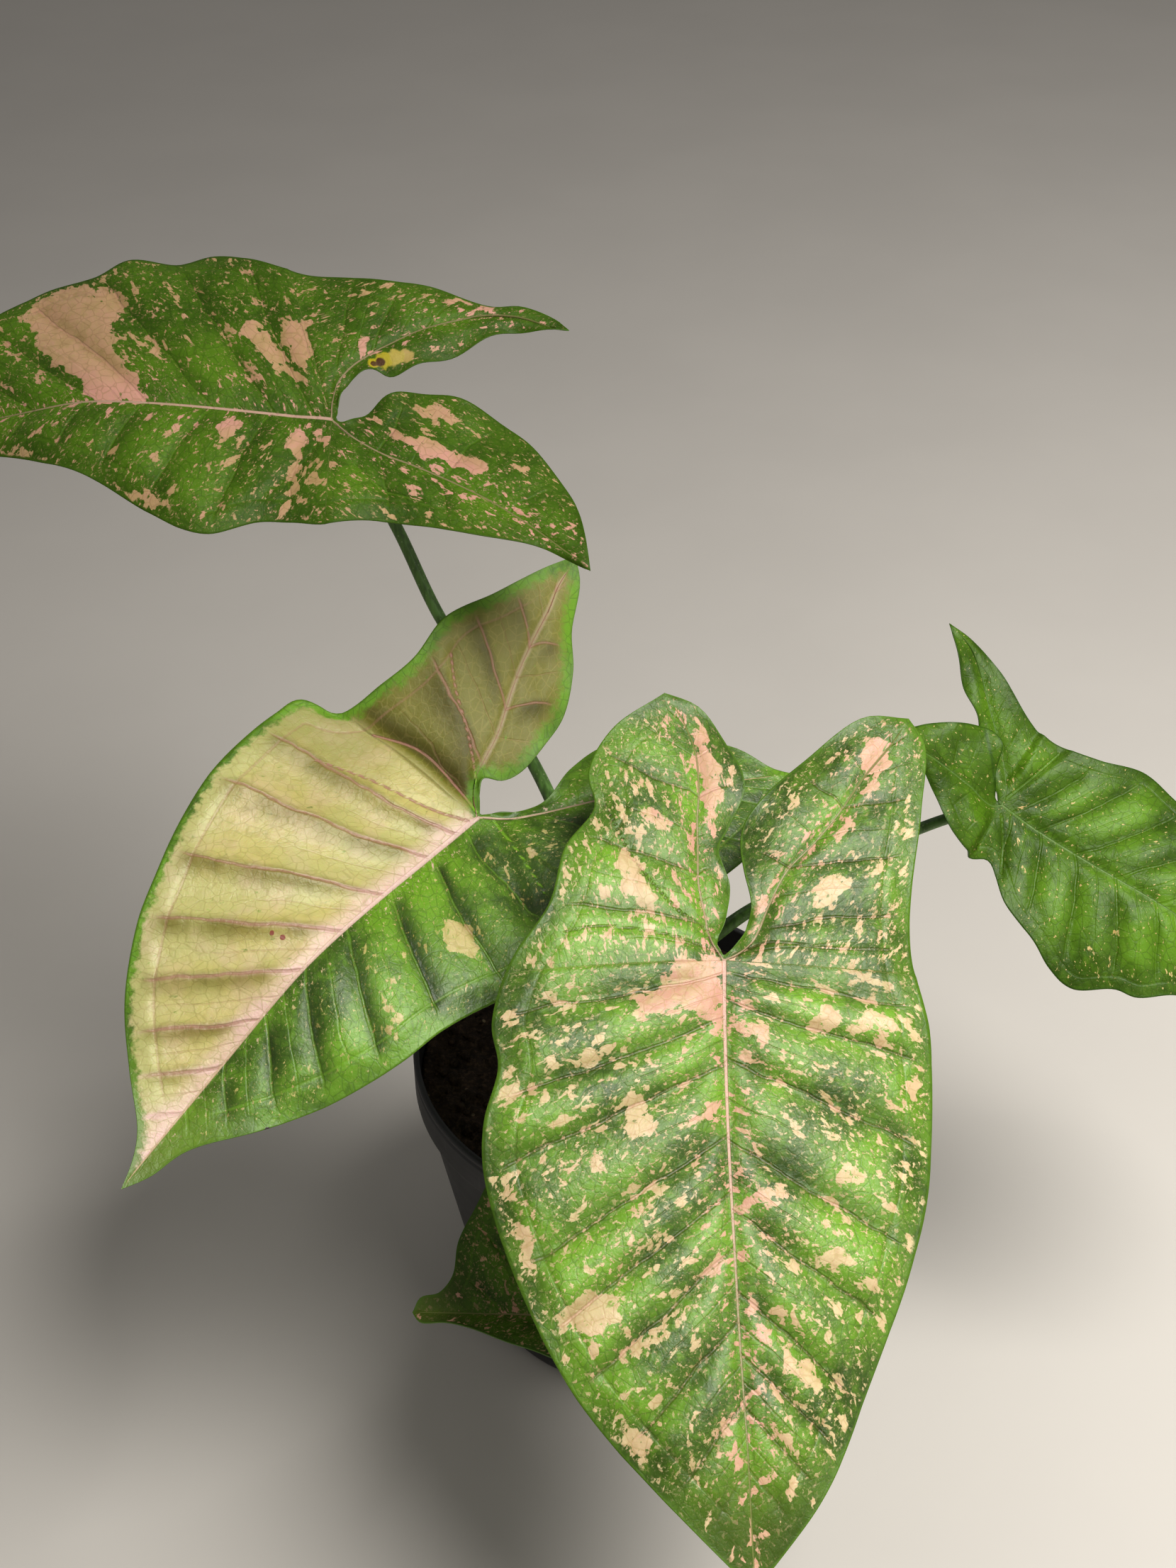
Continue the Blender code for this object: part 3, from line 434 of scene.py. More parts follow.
def turned_places(x, y, angle):
    """The same places along axes turned by this angle: x cos + y sin, and y cos - x sin."""
    return x * np.cos(angle) + y * np.sin(angle), y * np.cos(angle) - x * np.sin(angle)


def bell(distance, width):
    """1 at no distance, falling off as e to the minus (distance / width) squared."""
    return np.exp(-(distance / width) ** 2)


def smooth_line(points, shares):
    """Points at these shares of the length of a centripetal spline through the given points."""
    knots = np.array(points, float)
    ends = np.vstack([2 * knots[0] - knots[1], knots, 2 * knots[-1] - knots[-2]])
    a, b, c, d = ends[:-3], ends[1:-2], ends[2:-1], ends[3:]
    ab, bc, cd = (np.maximum(np.linalg.norm(q - p, axis=1), 1e-6)[:, None] ** 0.5
                  for p, q in ((a, b), (b, c), (c, d)))
    slope_b = ((b - a) / ab - (c - a) / (ab + bc) + (c - b) / bc) * bc
    slope_c = ((c - b) / bc - (d - b) / (bc + cd) + (d - c) / cd) * bc
    cubic = 2 * b - 2 * c + slope_b + slope_c
    square = 3 * c - 3 * b - 2 * slope_b - slope_c
    t = even(SPLINE_STEPS)[1:, None, None]
    fine = b + t * slope_b + t ** 2 * square + t ** 3 * cubic
    fine = np.vstack([knots[:1], fine.transpose(1, 0, 2).reshape(-1, knots.shape[1])])
    run = np.append(0.0, np.cumsum(np.linalg.norm(np.diff(fine, axis=0), axis=1)))
    return np.column_stack([np.interp(np.asarray(shares) * run[-1], run, axis) for axis in fine.T])


def smooth_step(low, high, value):
    """0 below low, 1 above high and a smooth S between them."""
    share = np.clip((value - low) / (high - low), 0.0, 1.0)
    return share * share * (3 - 2 * share)


def thin_plate(knots, x, y):
    """Height of the smoothest sheet through the knots (x, y, height): r squared log r round each."""
    spots = np.array(knots, float)

    def bend(distance):
        safe = np.maximum(distance, 1e-9)
        return safe * safe * np.log(safe)

    size = len(spots)
    apart = np.hypot(spots[:, None, 0] - spots[None, :, 0], spots[:, None, 1] - spots[None, :, 1])
    flat = np.column_stack([np.ones(size), spots[:, :2]])
    system = np.block([[bend(apart), flat], [flat.T, np.zeros((3, 3))]])
    weight = np.linalg.solve(system, np.append(spots[:, 2], np.zeros(3)))
    away = np.hypot(x[..., None] - spots[:, 0], y[..., None] - spots[:, 1])
    return bend(away) @ weight[:size] + weight[size] + weight[size + 1] * x + weight[size + 2] * y


def leaf_axes(leaf):
    """The joint, the three axes of the leaf's pattern (across, along, out) and its length."""
    joint = np.array(leaf["joint"], float)
    reach = np.array(leaf["tip"], float) - joint
    length = np.linalg.norm(reach)
    along = reach / length
    face = np.array(leaf["face"], float)
    out = face - (face @ along) * along
    out /= np.linalg.norm(out)
    return joint, np.cross(along, out), along, out, length


def leaf_height(leaf, side, x, y, edge, turn):
    """Height of the blade over its pattern: the thin plate through the relief, plus the fold, which
    is slope times the softened distance from the bowed midrib, the lobe's rise, and margin waves,
    size times edge cubed times a sine round the margin."""
    length = leaf_axes(leaf)[4]
    share = np.clip(y / length, 0.0, 1.0)
    from_rib = x - leaf["bow"] * 4 * share * (1 - share)
    height = thin_plate(leaf["relief"], x, y)
    height += leaf["fold"] * (np.sqrt(from_rib ** 2 + 9.0) - 3.0)
    behind = np.clip((np.hypot(x, y) - 1.5) / 8.0, 0.0, 1.0) * np.clip(-y / 2.0, 0.0, 1.0)
    height += leaf.get("lift", (0.0, 0.0))[side > 0] * behind * behind * (3 - 2 * behind)
    size, count = leaf["wave"]
    calm = np.clip(np.minimum(turn, 2 - turn) * 6, 0.0, 1.0)
    return height + size * calm * edge ** 3 * np.sin(2 * math.pi * count * turn + side)


def half_grids(leaf, side, look):
    """The grids of one half in the flat pattern: the blade, the lobe's outer side, its inner side.

    A row runs straight from a rib point to a margin point: place = rib + (margin - rib) * edge.
    Each grid has x, y, edge, turn round the margin, the row's width, rib, which is the mm along the
    ribs from the joint and negative in the lobe, and along and across, which turn with the grain.
    """
    length = leaf_axes(leaf)[4]
    half = leaf["right" if side > 0 else "left"]
    edge = even(look.columns + 1)
    closer = even(look.lobe_rows + 1) ** 1.4
    fine = smooth_line(half["outer"], even(MARGIN_POINTS))
    level = int(np.argmax(fine[:, 1] <= half["level"]))
    to_level = smooth_line(fine[:level + 1], even(look.midrib_rows + 1))
    to_end = smooth_line(fine[level:], closer)
    down = np.linspace(length - 1.5, 0.0, look.midrib_rows + 1)
    share = down / length
    midrib = np.column_stack([leaf["bow"] * 4 * share * (1 - share), down])
    to_level[0] = (0.0, length)
    midrib[0, 0] = 0.0
    lobe = smooth_line(half["lobe"], closer)
    vein, inner = lobe[:, :2], lobe[:, 2:]
    into_lobe = -np.append(0.0, np.cumsum(np.linalg.norm(np.diff(vein, axis=0), axis=1)))
    turns = np.split(even(look.midrib_rows + look.lobe_rows + 1), [look.midrib_rows])
    turns[0] = np.append(turns[0], turns[1][0])
    grids = []
    for ribs, rim, turn, rib in (
            (midrib, to_level, turns[0], down), (vein, to_end, turns[1], into_lobe),
            (vein, inner, 2.0 - even(len(vein)), into_lobe)):
        flat = ribs[:, None] + (rim - ribs)[:, None] * edge[:, None]
        shape = flat.shape[:2]
        grid = {
            "x": flat[..., 0], "y": flat[..., 1], "edge": np.broadcast_to(edge, shape),
            "turn": np.broadcast_to(turn[:, None], shape), "rib": np.broadcast_to(rib[:, None], shape),
            "width": np.broadcast_to(np.linalg.norm(rim - ribs, axis=1)[:, None], shape),
            "side": np.full(shape, float(side))}
        if ribs is midrib:
            turned = np.radians(leaf["grain"][0] + leaf["grain"][1] * np.clip(flat[..., 1] / length, 0, 1))
        else:
            turned = math.atan2(vein[-1, 1], side * vein[-1, 0])
        grid["along"], grid["across"] = turned_places(side * flat[..., 0], flat[..., 1], turned)
        grids.append(grid)
    return grids, fine


def distance_to_line(x, y, line):
    """Distance from each place to the nearest point of a polyline, segment by segment."""
    best = np.full(x.shape, 1e9)
    for (ax, ay), (bx, by) in zip(line[:-1], line[1:]):
        dx, dy = bx - ax, by - ay
        share = np.clip(((x - ax) * dx + (y - ay) * dy) / max(dx * dx + dy * dy, 1e-9), 0.0, 1.0)
        best = np.minimum(best, np.hypot(x - ax - share * dx, y - ay - share * dy))
    return best


def distance_to_outline(x, y, outline):
    """Distance to a closed outline, negative inside, which is where a line from outside crosses it an
    odd number of times."""
    inside = np.zeros(x.shape, bool)
    closed = [*outline, outline[0]]
    for (ax, ay), (bx, by) in zip(closed[:-1], closed[1:]):
        if ay != by:
            inside ^= ((ay > y) != (by > y)) & (x < (bx - ax) * (y - ay) / (by - ay) + ax)
    return np.where(inside, -1.0, 1.0) * distance_to_line(x, y, closed)


def patches(data, ovals, outlines):
    """Distance in mm to the nearest patch, negative inside, and that patch's share of pink.

    The places sway by sine waves first, so that the patches' edges do. For an oval, reach is the
    distance from its middle with both its half lengths taken as 1, and (reach - 1) times the half
    width, which grows further out, stands for the distance.
    """
    x, y = data["x"], data["y"]
    x, y = (x + 0.8 * np.sin(0.9 * y + 2 * np.sin(0.5 * x)) + 0.4 * np.sin(2.3 * y - 1.7 * x),
            y + 0.8 * np.sin(0.8 * x + 2 * np.sin(0.6 * y)) + 0.4 * np.sin(2.1 * x + 1.9 * y))
    nearest, pink = np.full(x.shape, 9.0), np.zeros(x.shape)
    found = []
    for middle_x, middle_y, long, short, turned, rosy in ovals:
        u, v = turned_places(x - middle_x, y - middle_y, math.radians(turned))
        reach = np.hypot(u / long, v / short)
        found.append(((reach - 1) * short * (0.4 + 0.6 * np.minimum(reach, 3)), rosy))
    for rosy, outline in outlines:
        found.append((distance_to_outline(x, y, outline), rosy))
    for distance, rosy in found:
        closer = distance < nearest
        nearest = np.where(closer, distance, nearest)
        pink = np.where(closer, rosy / 9, pink)
    return nearest, pink


def side_veins(grid, starts, drift, length):
    """Number of the side vein at each place, whole on a vein, and the mm from one to the next.

    A vein leaves the rib at start and drifts from the joint by about drift * out further on:
    start = rib * |rib| / (|rib| + drift * out), which makes the first ones fan out from the joint.
    """
    rib, out = grid["rib"], grid["edge"] * grid["width"]
    slant = drift[0] + drift[1] * np.abs(rib) / length
    start = rib * np.abs(rib) / (np.abs(rib) + slant * out + 0.01)
    number = np.interp(start, starts, np.arange(len(starts)))
    number = number + np.minimum(start - starts[0], 0) / (starts[1] - starts[0])
    number = number + np.maximum(start - starts[-1], 0) / (starts[-1] - starts[-2])
    rows = [np.gradient(grid[axis], axis=0) for axis in "xy"]
    columns = [np.gradient(grid[axis], axis=1) for axis in "xy"]
    by_row, by_column = np.gradient(number, axis=0), np.gradient(number, axis=1)
    area = rows[0] * columns[1] - rows[1] * columns[0]
    area = np.where(np.abs(area) < 1e-6, 1e-6, area)
    slope_x = (by_row * columns[1] - by_column * rows[1]) / area
    slope_y = (by_column * rows[0] - by_row * columns[0]) / area
    return number, 1 / np.clip(np.hypot(slope_x, slope_y), 0.03, 2.0)


def joined_grids(leaf, look):
    """The six grids of a blade, the numbers of their places with the seams shared, and both margins."""
    length = leaf_axes(leaf)[4]
    grids, ids, margins, first = [], [], [], 0
    for side, starts in ((1, leaf["starts"][0]), (-1, leaf["starts"][1])):
        made, margin = half_grids(leaf, side, look)
        margins.append(margin[::MARGIN_SKIP])
        for grid in made:
            grid["number"], grid["spacing"] = side_veins(grid, np.array(starts, float), leaf["drift"], length)
            grid["height"] = leaf_height(leaf, side, grid["x"], grid["y"], grid["edge"], grid["turn"])
            grids.append(grid)
            ids.append(first + np.arange(grid["x"].size).reshape(grid["x"].shape))
            first += grid["x"].size
    right, right_lobe, right_in, left, left_lobe, left_in = ids
    left[0, :], left[:, 0] = right[0, :], right[:, 0]
    for main_part, lobe, inner in ((right, right_lobe, right_in), (left, left_lobe, left_in)):
        lobe[0, :] = main_part[-1, :]
        inner[:, 0], inner[-1, :] = lobe[:, 0], lobe[-1, :]
    left_in[0, :] = right_in[0, :]
    return grids, ids, margins


def add_distances(data, leaf, grids, margins):
    """Adds the mm from each place to its rib, the outer margin, any margin and the joint's branches."""
    def nearest(lines):
        return np.minimum.reduce([distance_to_line(data["x"], data["y"], line) for line in lines])

    data["out"] = data["edge"] * data["width"]
    data["rim"] = nearest(margins)
    inner_margins = [np.column_stack([grid[axis][:, -1] for axis in "xy"]) for grid in grids[2::3]]
    data["margin"] = np.minimum(data["rim"], nearest(inner_margins))
    data["branch"] = nearest([smooth_line(line, even(LINE_POINTS)) for line in leaf["branches"]])


def add_relief(data, leaf, look):
    """Adds the small relief to the height.

    Fields stand up between the side veins as the absolute sine of pi * number. The marginal band
    hangs, and its inner edge, the ribs, the branches and the creases are bell-shaped grooves.
    """
    turn, out = data["turn"], data["out"]
    calm = np.clip(np.minimum(turn, 2 - turn) * 6, 0, 1)
    calm = calm * np.clip(np.abs(turn - 1) * 8, 0, 1)
    away = smooth_step(1.0, 9.0, np.hypot(data["x"], data["y"])) * calm
    puff = np.abs(np.sin(math.pi * data["number"])) ** 0.8
    room = smooth_step(0.5, 7.0, out) * (0.15 + 0.85 * smooth_step(2.5, 8.0, data["margin"]))
    room = room * np.clip(data["spacing"] / 12, 0.15, 1.0) * np.where(data["rib"] < 0, 0.55, 1.0)
    quilt = leaf["quilt"] * look.quilting / MM * np.where(data["side"] > 0, leaf.get("pleat", 1.0), 1.0)
    height = data["height"] + quilt * away * room * (puff - 0.45)
    height -= leaf["droop"] * away * smooth_step(leaf["band"], 0.0, data["margin"])
    height -= 0.25 * leaf["droop"] * away * bell(data["rim"] - leaf["band"], 0.9) * smooth_step(3.0, 8.0, out)
    height -= 0.6 * away * bell(out, 1.6)
    height -= 0.45 * away * bell(data["branch"], 1.1)
    for line, deep, wide in leaf.get("creases", ()):
        line = smooth_line(line, even(LINE_POINTS))
        height -= deep * away * bell(distance_to_line(data["x"], data["y"], line), wide)
    data["height"] = height


def quads_and_margins(data, grids):
    """Quads of all the grids with the same way round, and the pairs of places along their margins."""
    places = np.stack([data["x"], data["y"]])
    quads, strips, start = [], [], 0
    for grid in grids:
        numbers = start + np.arange(grid["x"].size).reshape(grid["x"].shape)
        start += grid["x"].size
        quad = np.stack([numbers[:-1, :-1], numbers[:-1, 1:], numbers[1:, 1:], numbers[1:, :-1]], -1)
        quad = quad.reshape(-1, 4)
        a, b, c, d = (places[:, quad[:, corner]] for corner in range(4))
        turned = ((c - a)[0] * (d - b)[1] - (c - a)[1] * (d - b)[0]).sum()
        rim = np.stack([numbers[1:, -1], numbers[:-1, -1]], -1)
        quads.append(quad if turned > 0 else quad[:, ::-1])
        strips.append(rim if turned > 0 else rim[:, ::-1])
    return np.vstack(quads), np.vstack(strips)


def sheet_normals(places, faces):
    """Unit normal at each place: the sum of the cross products of the diagonals of the quads round it."""
    corners = places[faces]
    facing = np.cross(corners[:, 2] - corners[:, 0], corners[:, 3] - corners[:, 1])
    normal = np.column_stack([sum(np.bincount(faces[:, corner], facing[:, axis], len(places))
                                  for corner in range(4)) for axis in range(3)])
    return normal / np.maximum(np.linalg.norm(normal, axis=1, keepdims=True), 1e-9)


def blade(leaf, look):
    """One blade: its places, quads, the entry of data behind each quad's corner, and the data.

    The sheet is six grids that share their seams. Its upper face lies half the thickness out
    along the sheet's normal, its lower face as far below and lower still by a bell-shaped keel
    along each rib, and a strip closes the margin.
    """
    grids, ids, margins = joined_grids(leaf, look)
    data = {key: np.concatenate([grid[key].ravel() for grid in grids]) for key in grids[0]}
    add_distances(data, leaf, grids, margins)
    add_relief(data, leaf, look)
    keep, weld = np.unique(np.concatenate([numbers.ravel() for numbers in ids]), return_inverse=True)
    joint, across, along, out, length = leaf_axes(leaf)
    x, y, height = (data[key][keep, None] for key in ("x", "y", "height"))
    place = joint + x * across + y * along + height * out
    upper, strip = quads_and_margins(data, grids)
    normal = sheet_normals(place, weld[upper])
    half = look.rim_thickness + (look.thickness - look.rim_thickness) * smooth_step(0.0, 2.0, data["margin"])
    half = (half / MM / 2)[keep]
    taper = smooth_step(0.0, 100.0, length - np.abs(data["rib"]))
    keel = ((0.15 + 0.75 * taper) * bell(data["out"], 0.9))[keep]
    places = np.vstack([place + normal * half[:, None], place - normal * (half + keel)[:, None]])
    count = len(place)
    faces = np.vstack([weld[upper], count + weld[upper][:, ::-1],
                       np.column_stack([weld[strip], count + weld[strip][:, ::-1]])])
    source = np.vstack([upper, upper[:, ::-1], np.column_stack([strip, strip[:, ::-1]])])
    data["upper"] = np.repeat([1.0, 0.0, 0.5], [len(upper), len(upper), len(strip)])
    return places, faces, source, data


def new_mesh(name, places, *parts):
    """A mesh from places in mm and arrays of faces, each array with its own number of corners."""
    mesh = bpy.data.meshes.new(name)
    corners = np.concatenate([faces.ravel() for faces in parts]).astype(np.int32)
    sides = np.concatenate([np.full(len(faces), faces.shape[1], np.int32) for faces in parts])
    mesh.vertices.add(len(places))
    mesh.vertices.foreach_set("co", (places * MM).astype(np.float32).ravel())
    mesh.loops.add(len(corners))
    mesh.loops.foreach_set("vertex_index", corners)
    mesh.polygons.add(len(sides))
    mesh.polygons.foreach_set("loop_start", (np.cumsum(sides) - sides).astype(np.int32))
    mesh.polygons.foreach_set("use_smooth", np.ones(len(sides), bool))
    mesh.update(calc_edges=True)
    if mesh.validate():
        raise RuntimeError(name + " has faces that don't hold together")
    return mesh


def corner_values(mesh, name, *columns):
    """Stores up to three numbers for each face corner, for a material to read."""
    values = np.zeros((len(columns[0]), 3), np.float32)
    for place, column in enumerate(columns):
        values[:, place] = column
    mesh.attributes.new(name, "FLOAT_VECTOR", "CORNER").data.foreach_set("vector", values.ravel())


def placed(name, data, place=(0.0, 0.0, 0.0), turn=(0.0, 0.0, 0.0)):
    """A new object in the scene, at this place and turn."""
    made = bpy.data.objects.new(name, data)
    bpy.context.scene.collection.objects.link(made)
    made.location, made.rotation_euler = place, turn
    return made


def piece(name, mesh, material, node):
    """The finished piece: it rides on the one body, stands for its node and has its slot."""
    made = placed(name, mesh)
    mesh.materials.append(material)
    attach(made, "root")
    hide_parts(node)


def tube_grid(line, radius, upward=(0.0, 0.0, 1.0)):
    """A profile carried along a path: place = centre + radius(run, angle) * (side cos + up sin).

    side and up stay square to the path: up is the upward direction with its share along the
    path taken out. radius has one row for each path point and one column for each angle.
    """
    along = np.gradient(line, axis=0)
    along /= np.linalg.norm(along, axis=1, keepdims=True)
    up = np.array(upward) - along * (along @ np.array(upward))[:, None]
    up /= np.maximum(np.linalg.norm(up, axis=1, keepdims=True), 1e-9)
    side = np.cross(along, up)
    angle = round_angles(radius.shape[1])
    ring = side[:, None] * np.cos(angle)[:, None] + up[:, None] * np.sin(angle)[:, None]
    return line[:, None] + radius[..., None] * ring


def ring_quads(numbers):
    """Quads between the neighbouring rows of numbers, where each row is a closed ring."""
    after = np.roll(numbers, -1, axis=1)
    return np.stack([numbers[:-1], after[:-1], after[1:], numbers[1:]], -1).reshape(-1, 4)


def fan(tip, ring):
    """Triangles from one point to each edge of a closed ring."""
    return np.column_stack([np.full(len(ring), tip), ring, np.roll(ring, -1)])


def closed_rings(rows, sides):
    """Quads and end triangles of rings numbered row by row, with a point for each end after them."""
    numbers = np.arange(rows * sides).reshape(rows, sides)
    ends = np.vstack([fan(numbers.size, numbers[0]), fan(numbers.size + 1, numbers[-1])[:, ::-1]])
    return ring_quads(numbers)[:, ::-1], ends


def tube(name, grid):
    """The mesh of a tube with both ends closed by fans, and the path row behind each face corner."""
    rows, sides = grid.shape[:2]
    walls, ends = closed_rings(rows, sides)
    places = np.vstack([grid.reshape(-1, 3), grid[0].mean(0), grid[-1].mean(0)])
    row = np.append(np.repeat(np.arange(rows), sides), (0, rows - 1))
    return new_mesh(name, places, walls, ends), row[np.concatenate([walls.ravel(), ends.ravel()])]


# Materials

class Nodes:
    """Short ways to place and join the nodes of a material or of a group."""

    def __init__(self, tree):
        self.tree = tree

    def add(self, kind, inputs=(), **settings):
        """A node with these settings; inputs are (socket, value or the output that feeds it)."""
        node = self.tree.nodes.new(kind)
        for key, value in settings.items():
            setattr(node, key, value)
        for socket, value in dict(inputs).items():
            self.feed(node.inputs[socket], value)
        return node

    def feed(self, socket, value):
        """Links an output to the socket, or sets the socket to a number, vector or colour."""
        if isinstance(value, bpy.types.NodeSocket):
            self.tree.links.new(value, socket)
        elif hasattr(value, "__len__") and socket.type == "RGBA" and len(value) == 3:
            socket.default_value = (*value, 1.0)
        else:
            socket.default_value = value

    def math(self, operation, *values, clamp=False):
        """One step of arithmetic on numbers and outputs."""
        node = self.tree.nodes.new("ShaderNodeMath")
        node.operation = operation
        node.use_clamp = clamp
        for socket, value in zip(node.inputs, values):
            self.feed(socket, value)
        return node.outputs[0]

    def chain(self, operation, values):
        """The values joined one after another by this operation."""
        made = values[0]
        for value in values[1:]:
            made = self.math(operation, made, value)
        return made

    def times(self, *values):
        """The product of the values."""
        return self.chain("MULTIPLY", values)

    def plus(self, *values):
        """The sum of the values."""
        return self.chain("ADD", values)

    def most(self, *values):
        """The largest of the values."""
        return self.chain("MAXIMUM", values)

    def less(self, first, second):
        """The first value less the second."""
        return self.math("SUBTRACT", first, second)

    def over(self, first, second):
        """The first value divided by the second."""
        return self.math("DIVIDE", first, second)

    def rest(self, value):
        """What is left of 1."""
        return self.less(1.0, value)

    def swing(self, value, *sizes):
        """A noise made to swing about 0: the value less a half, times the sizes."""
        return self.times(self.less(value, 0.5), *sizes)

    def use(self, tree, inputs):
        """The outputs of a node group that is fed these inputs."""
        return self.add("ShaderNodeGroup", inputs, node_tree=tree).outputs

    def ramp(self, value, low, high):
        """0 at low and 1 at high in a smooth S, and the other way round if low is the larger."""
        node = self.add("ShaderNodeMapRange", {0: value, 1: low, 2: high}, interpolation_type="SMOOTHSTEP")
        return node.outputs[0]

    def mix(self, share, first, second, blend="MIX"):
        """The first colour where the share is 0 and the second where it is 1."""
        node = self.tree.nodes.new("ShaderNodeMix")
        node.data_type, node.blend_type = "RGBA", blend
        self.feed(node.inputs[0], share)
        self.feed(node.inputs[6], first)
        self.feed(node.inputs[7], second)
        return node.outputs[2]

    def parts(self, name):
        """The three numbers that a piece keeps under this name at each corner."""
        read = self.add("ShaderNodeAttribute", attribute_name=name, attribute_type="GEOMETRY")
        split = self.add("ShaderNodeSeparateXYZ", {0: read.outputs["Vector"]})
        return tuple(split.outputs)

    def vector(self, x, y, z=0.0):
        """Three numbers as one vector."""
        return self.add("ShaderNodeCombineXYZ", {0: x, 1: y, 2: z}).outputs[0]

    def object_place(self):
        """The Object coordinates."""
        return self.add("ShaderNodeTexCoord").outputs["Object"]

    def noise(self, place, scale, detail=2.0, rough=0.5, twist=0.0):
        """Cloudy noise about 0.5."""
        return self.add("ShaderNodeTexNoise", {"Vector": place, "Scale": scale, "Detail": detail,
                                               "Roughness": rough, "Distortion": twist}).outputs[0]

    def cells(self, place, scale, feature="F1"):
        """Distance to the nearest middle, or edge, of random cells."""
        node = self.add("ShaderNodeTexVoronoi", {"Vector": place, "Scale": scale}, feature=feature)
        return node.outputs["Distance"]


def group(name, inputs, outputs):
    """A new shader node group with these sockets; returns the tree, its inside and both ends."""
    tree = bpy.data.node_groups.new(name, "ShaderNodeTree")
    for key, kind, value in inputs:
        socket = tree.interface.new_socket(key, in_out="INPUT", socket_type="NodeSocket" + kind)
        if value is not None:
            socket.default_value = value
    for key, kind in outputs:
        tree.interface.new_socket(key, in_out="OUTPUT", socket_type="NodeSocket" + kind)
    inside = Nodes(tree)
    return tree, inside, inside.add("NodeGroupInput").outputs, inside.add("NodeGroupOutput").inputs


def streak_group():
    """Drawn-out streaks: noise on the place times the stretch along each axis."""
    if "streaks" in bpy.data.node_groups:
        return bpy.data.node_groups["streaks"]
    tree, n, given, result = group(
        "streaks", [("Place", "Vector", None), ("Stretch", "Vector", None), ("Detail", "Float", 3.0)],
        [("Streak", "Float")])
    drawn = n.add("ShaderNodeVectorMath", {0: given["Place"], 1: given["Stretch"]}, operation="MULTIPLY")
    n.feed(result["Streak"], n.noise(drawn.outputs[0], 1.0, given["Detail"]))
    return tree


def fleck_group():
    """Flecks drawn out along the side veins: noise on (mm across, mm along / stretch), cut sharp."""
    if "flecks" in bpy.data.node_groups:
        return bpy.data.node_groups["flecks"]
    tree, n, given, result = group(
        "flecks",
        [("Across", "Float", 0.0), ("Along", "Float", 0.0), ("Seed", "Float", 0.0), ("Size", "Float", 2.0),
         ("Stretch", "Float", 2.5), ("Cut", "Float", 0.6), ("Softness", "Float", 0.02)],
        [("Mask", "Float")])
    across = n.over(given["Across"], given["Size"])
    along = n.over(n.over(given["Along"], given["Stretch"]), given["Size"])
    grain = n.noise(n.vector(across, along, given["Seed"]), 1.0, 3.0, 0.6, 0.3)
    low = n.less(given["Cut"], given["Softness"])
    high = n.plus(given["Cut"], given["Softness"])
    n.feed(result["Mask"], n.ramp(grain, low, high))
    return tree


def spot_group():
    """One ragged round spot of another colour at a place on the flat blade."""
    if "spot" in bpy.data.node_groups:
        return bpy.data.node_groups["spot"]
    tree, n, given, result = group(
        "spot",
        [("Color", "Color", None), ("Flat", "Vector", None), ("Place", "Vector", None),
         ("Reach", "Float", 1.0), ("Spot", "Color", None)],
        [("Color", "Color")])
    apart = n.add("ShaderNodeVectorMath", {0: given["Flat"], 1: given["Place"]}, operation="DISTANCE")
    away = n.plus(apart.outputs["Value"], n.swing(n.noise(given["Flat"], 0.8, 3.0), given["Reach"], 0.9))
    share = n.ramp(n.over(away, given["Reach"]), 1.15, 0.75)
    n.feed(result["Color"], n.mix(share, given["Color"], given["Spot"]))
    return tree


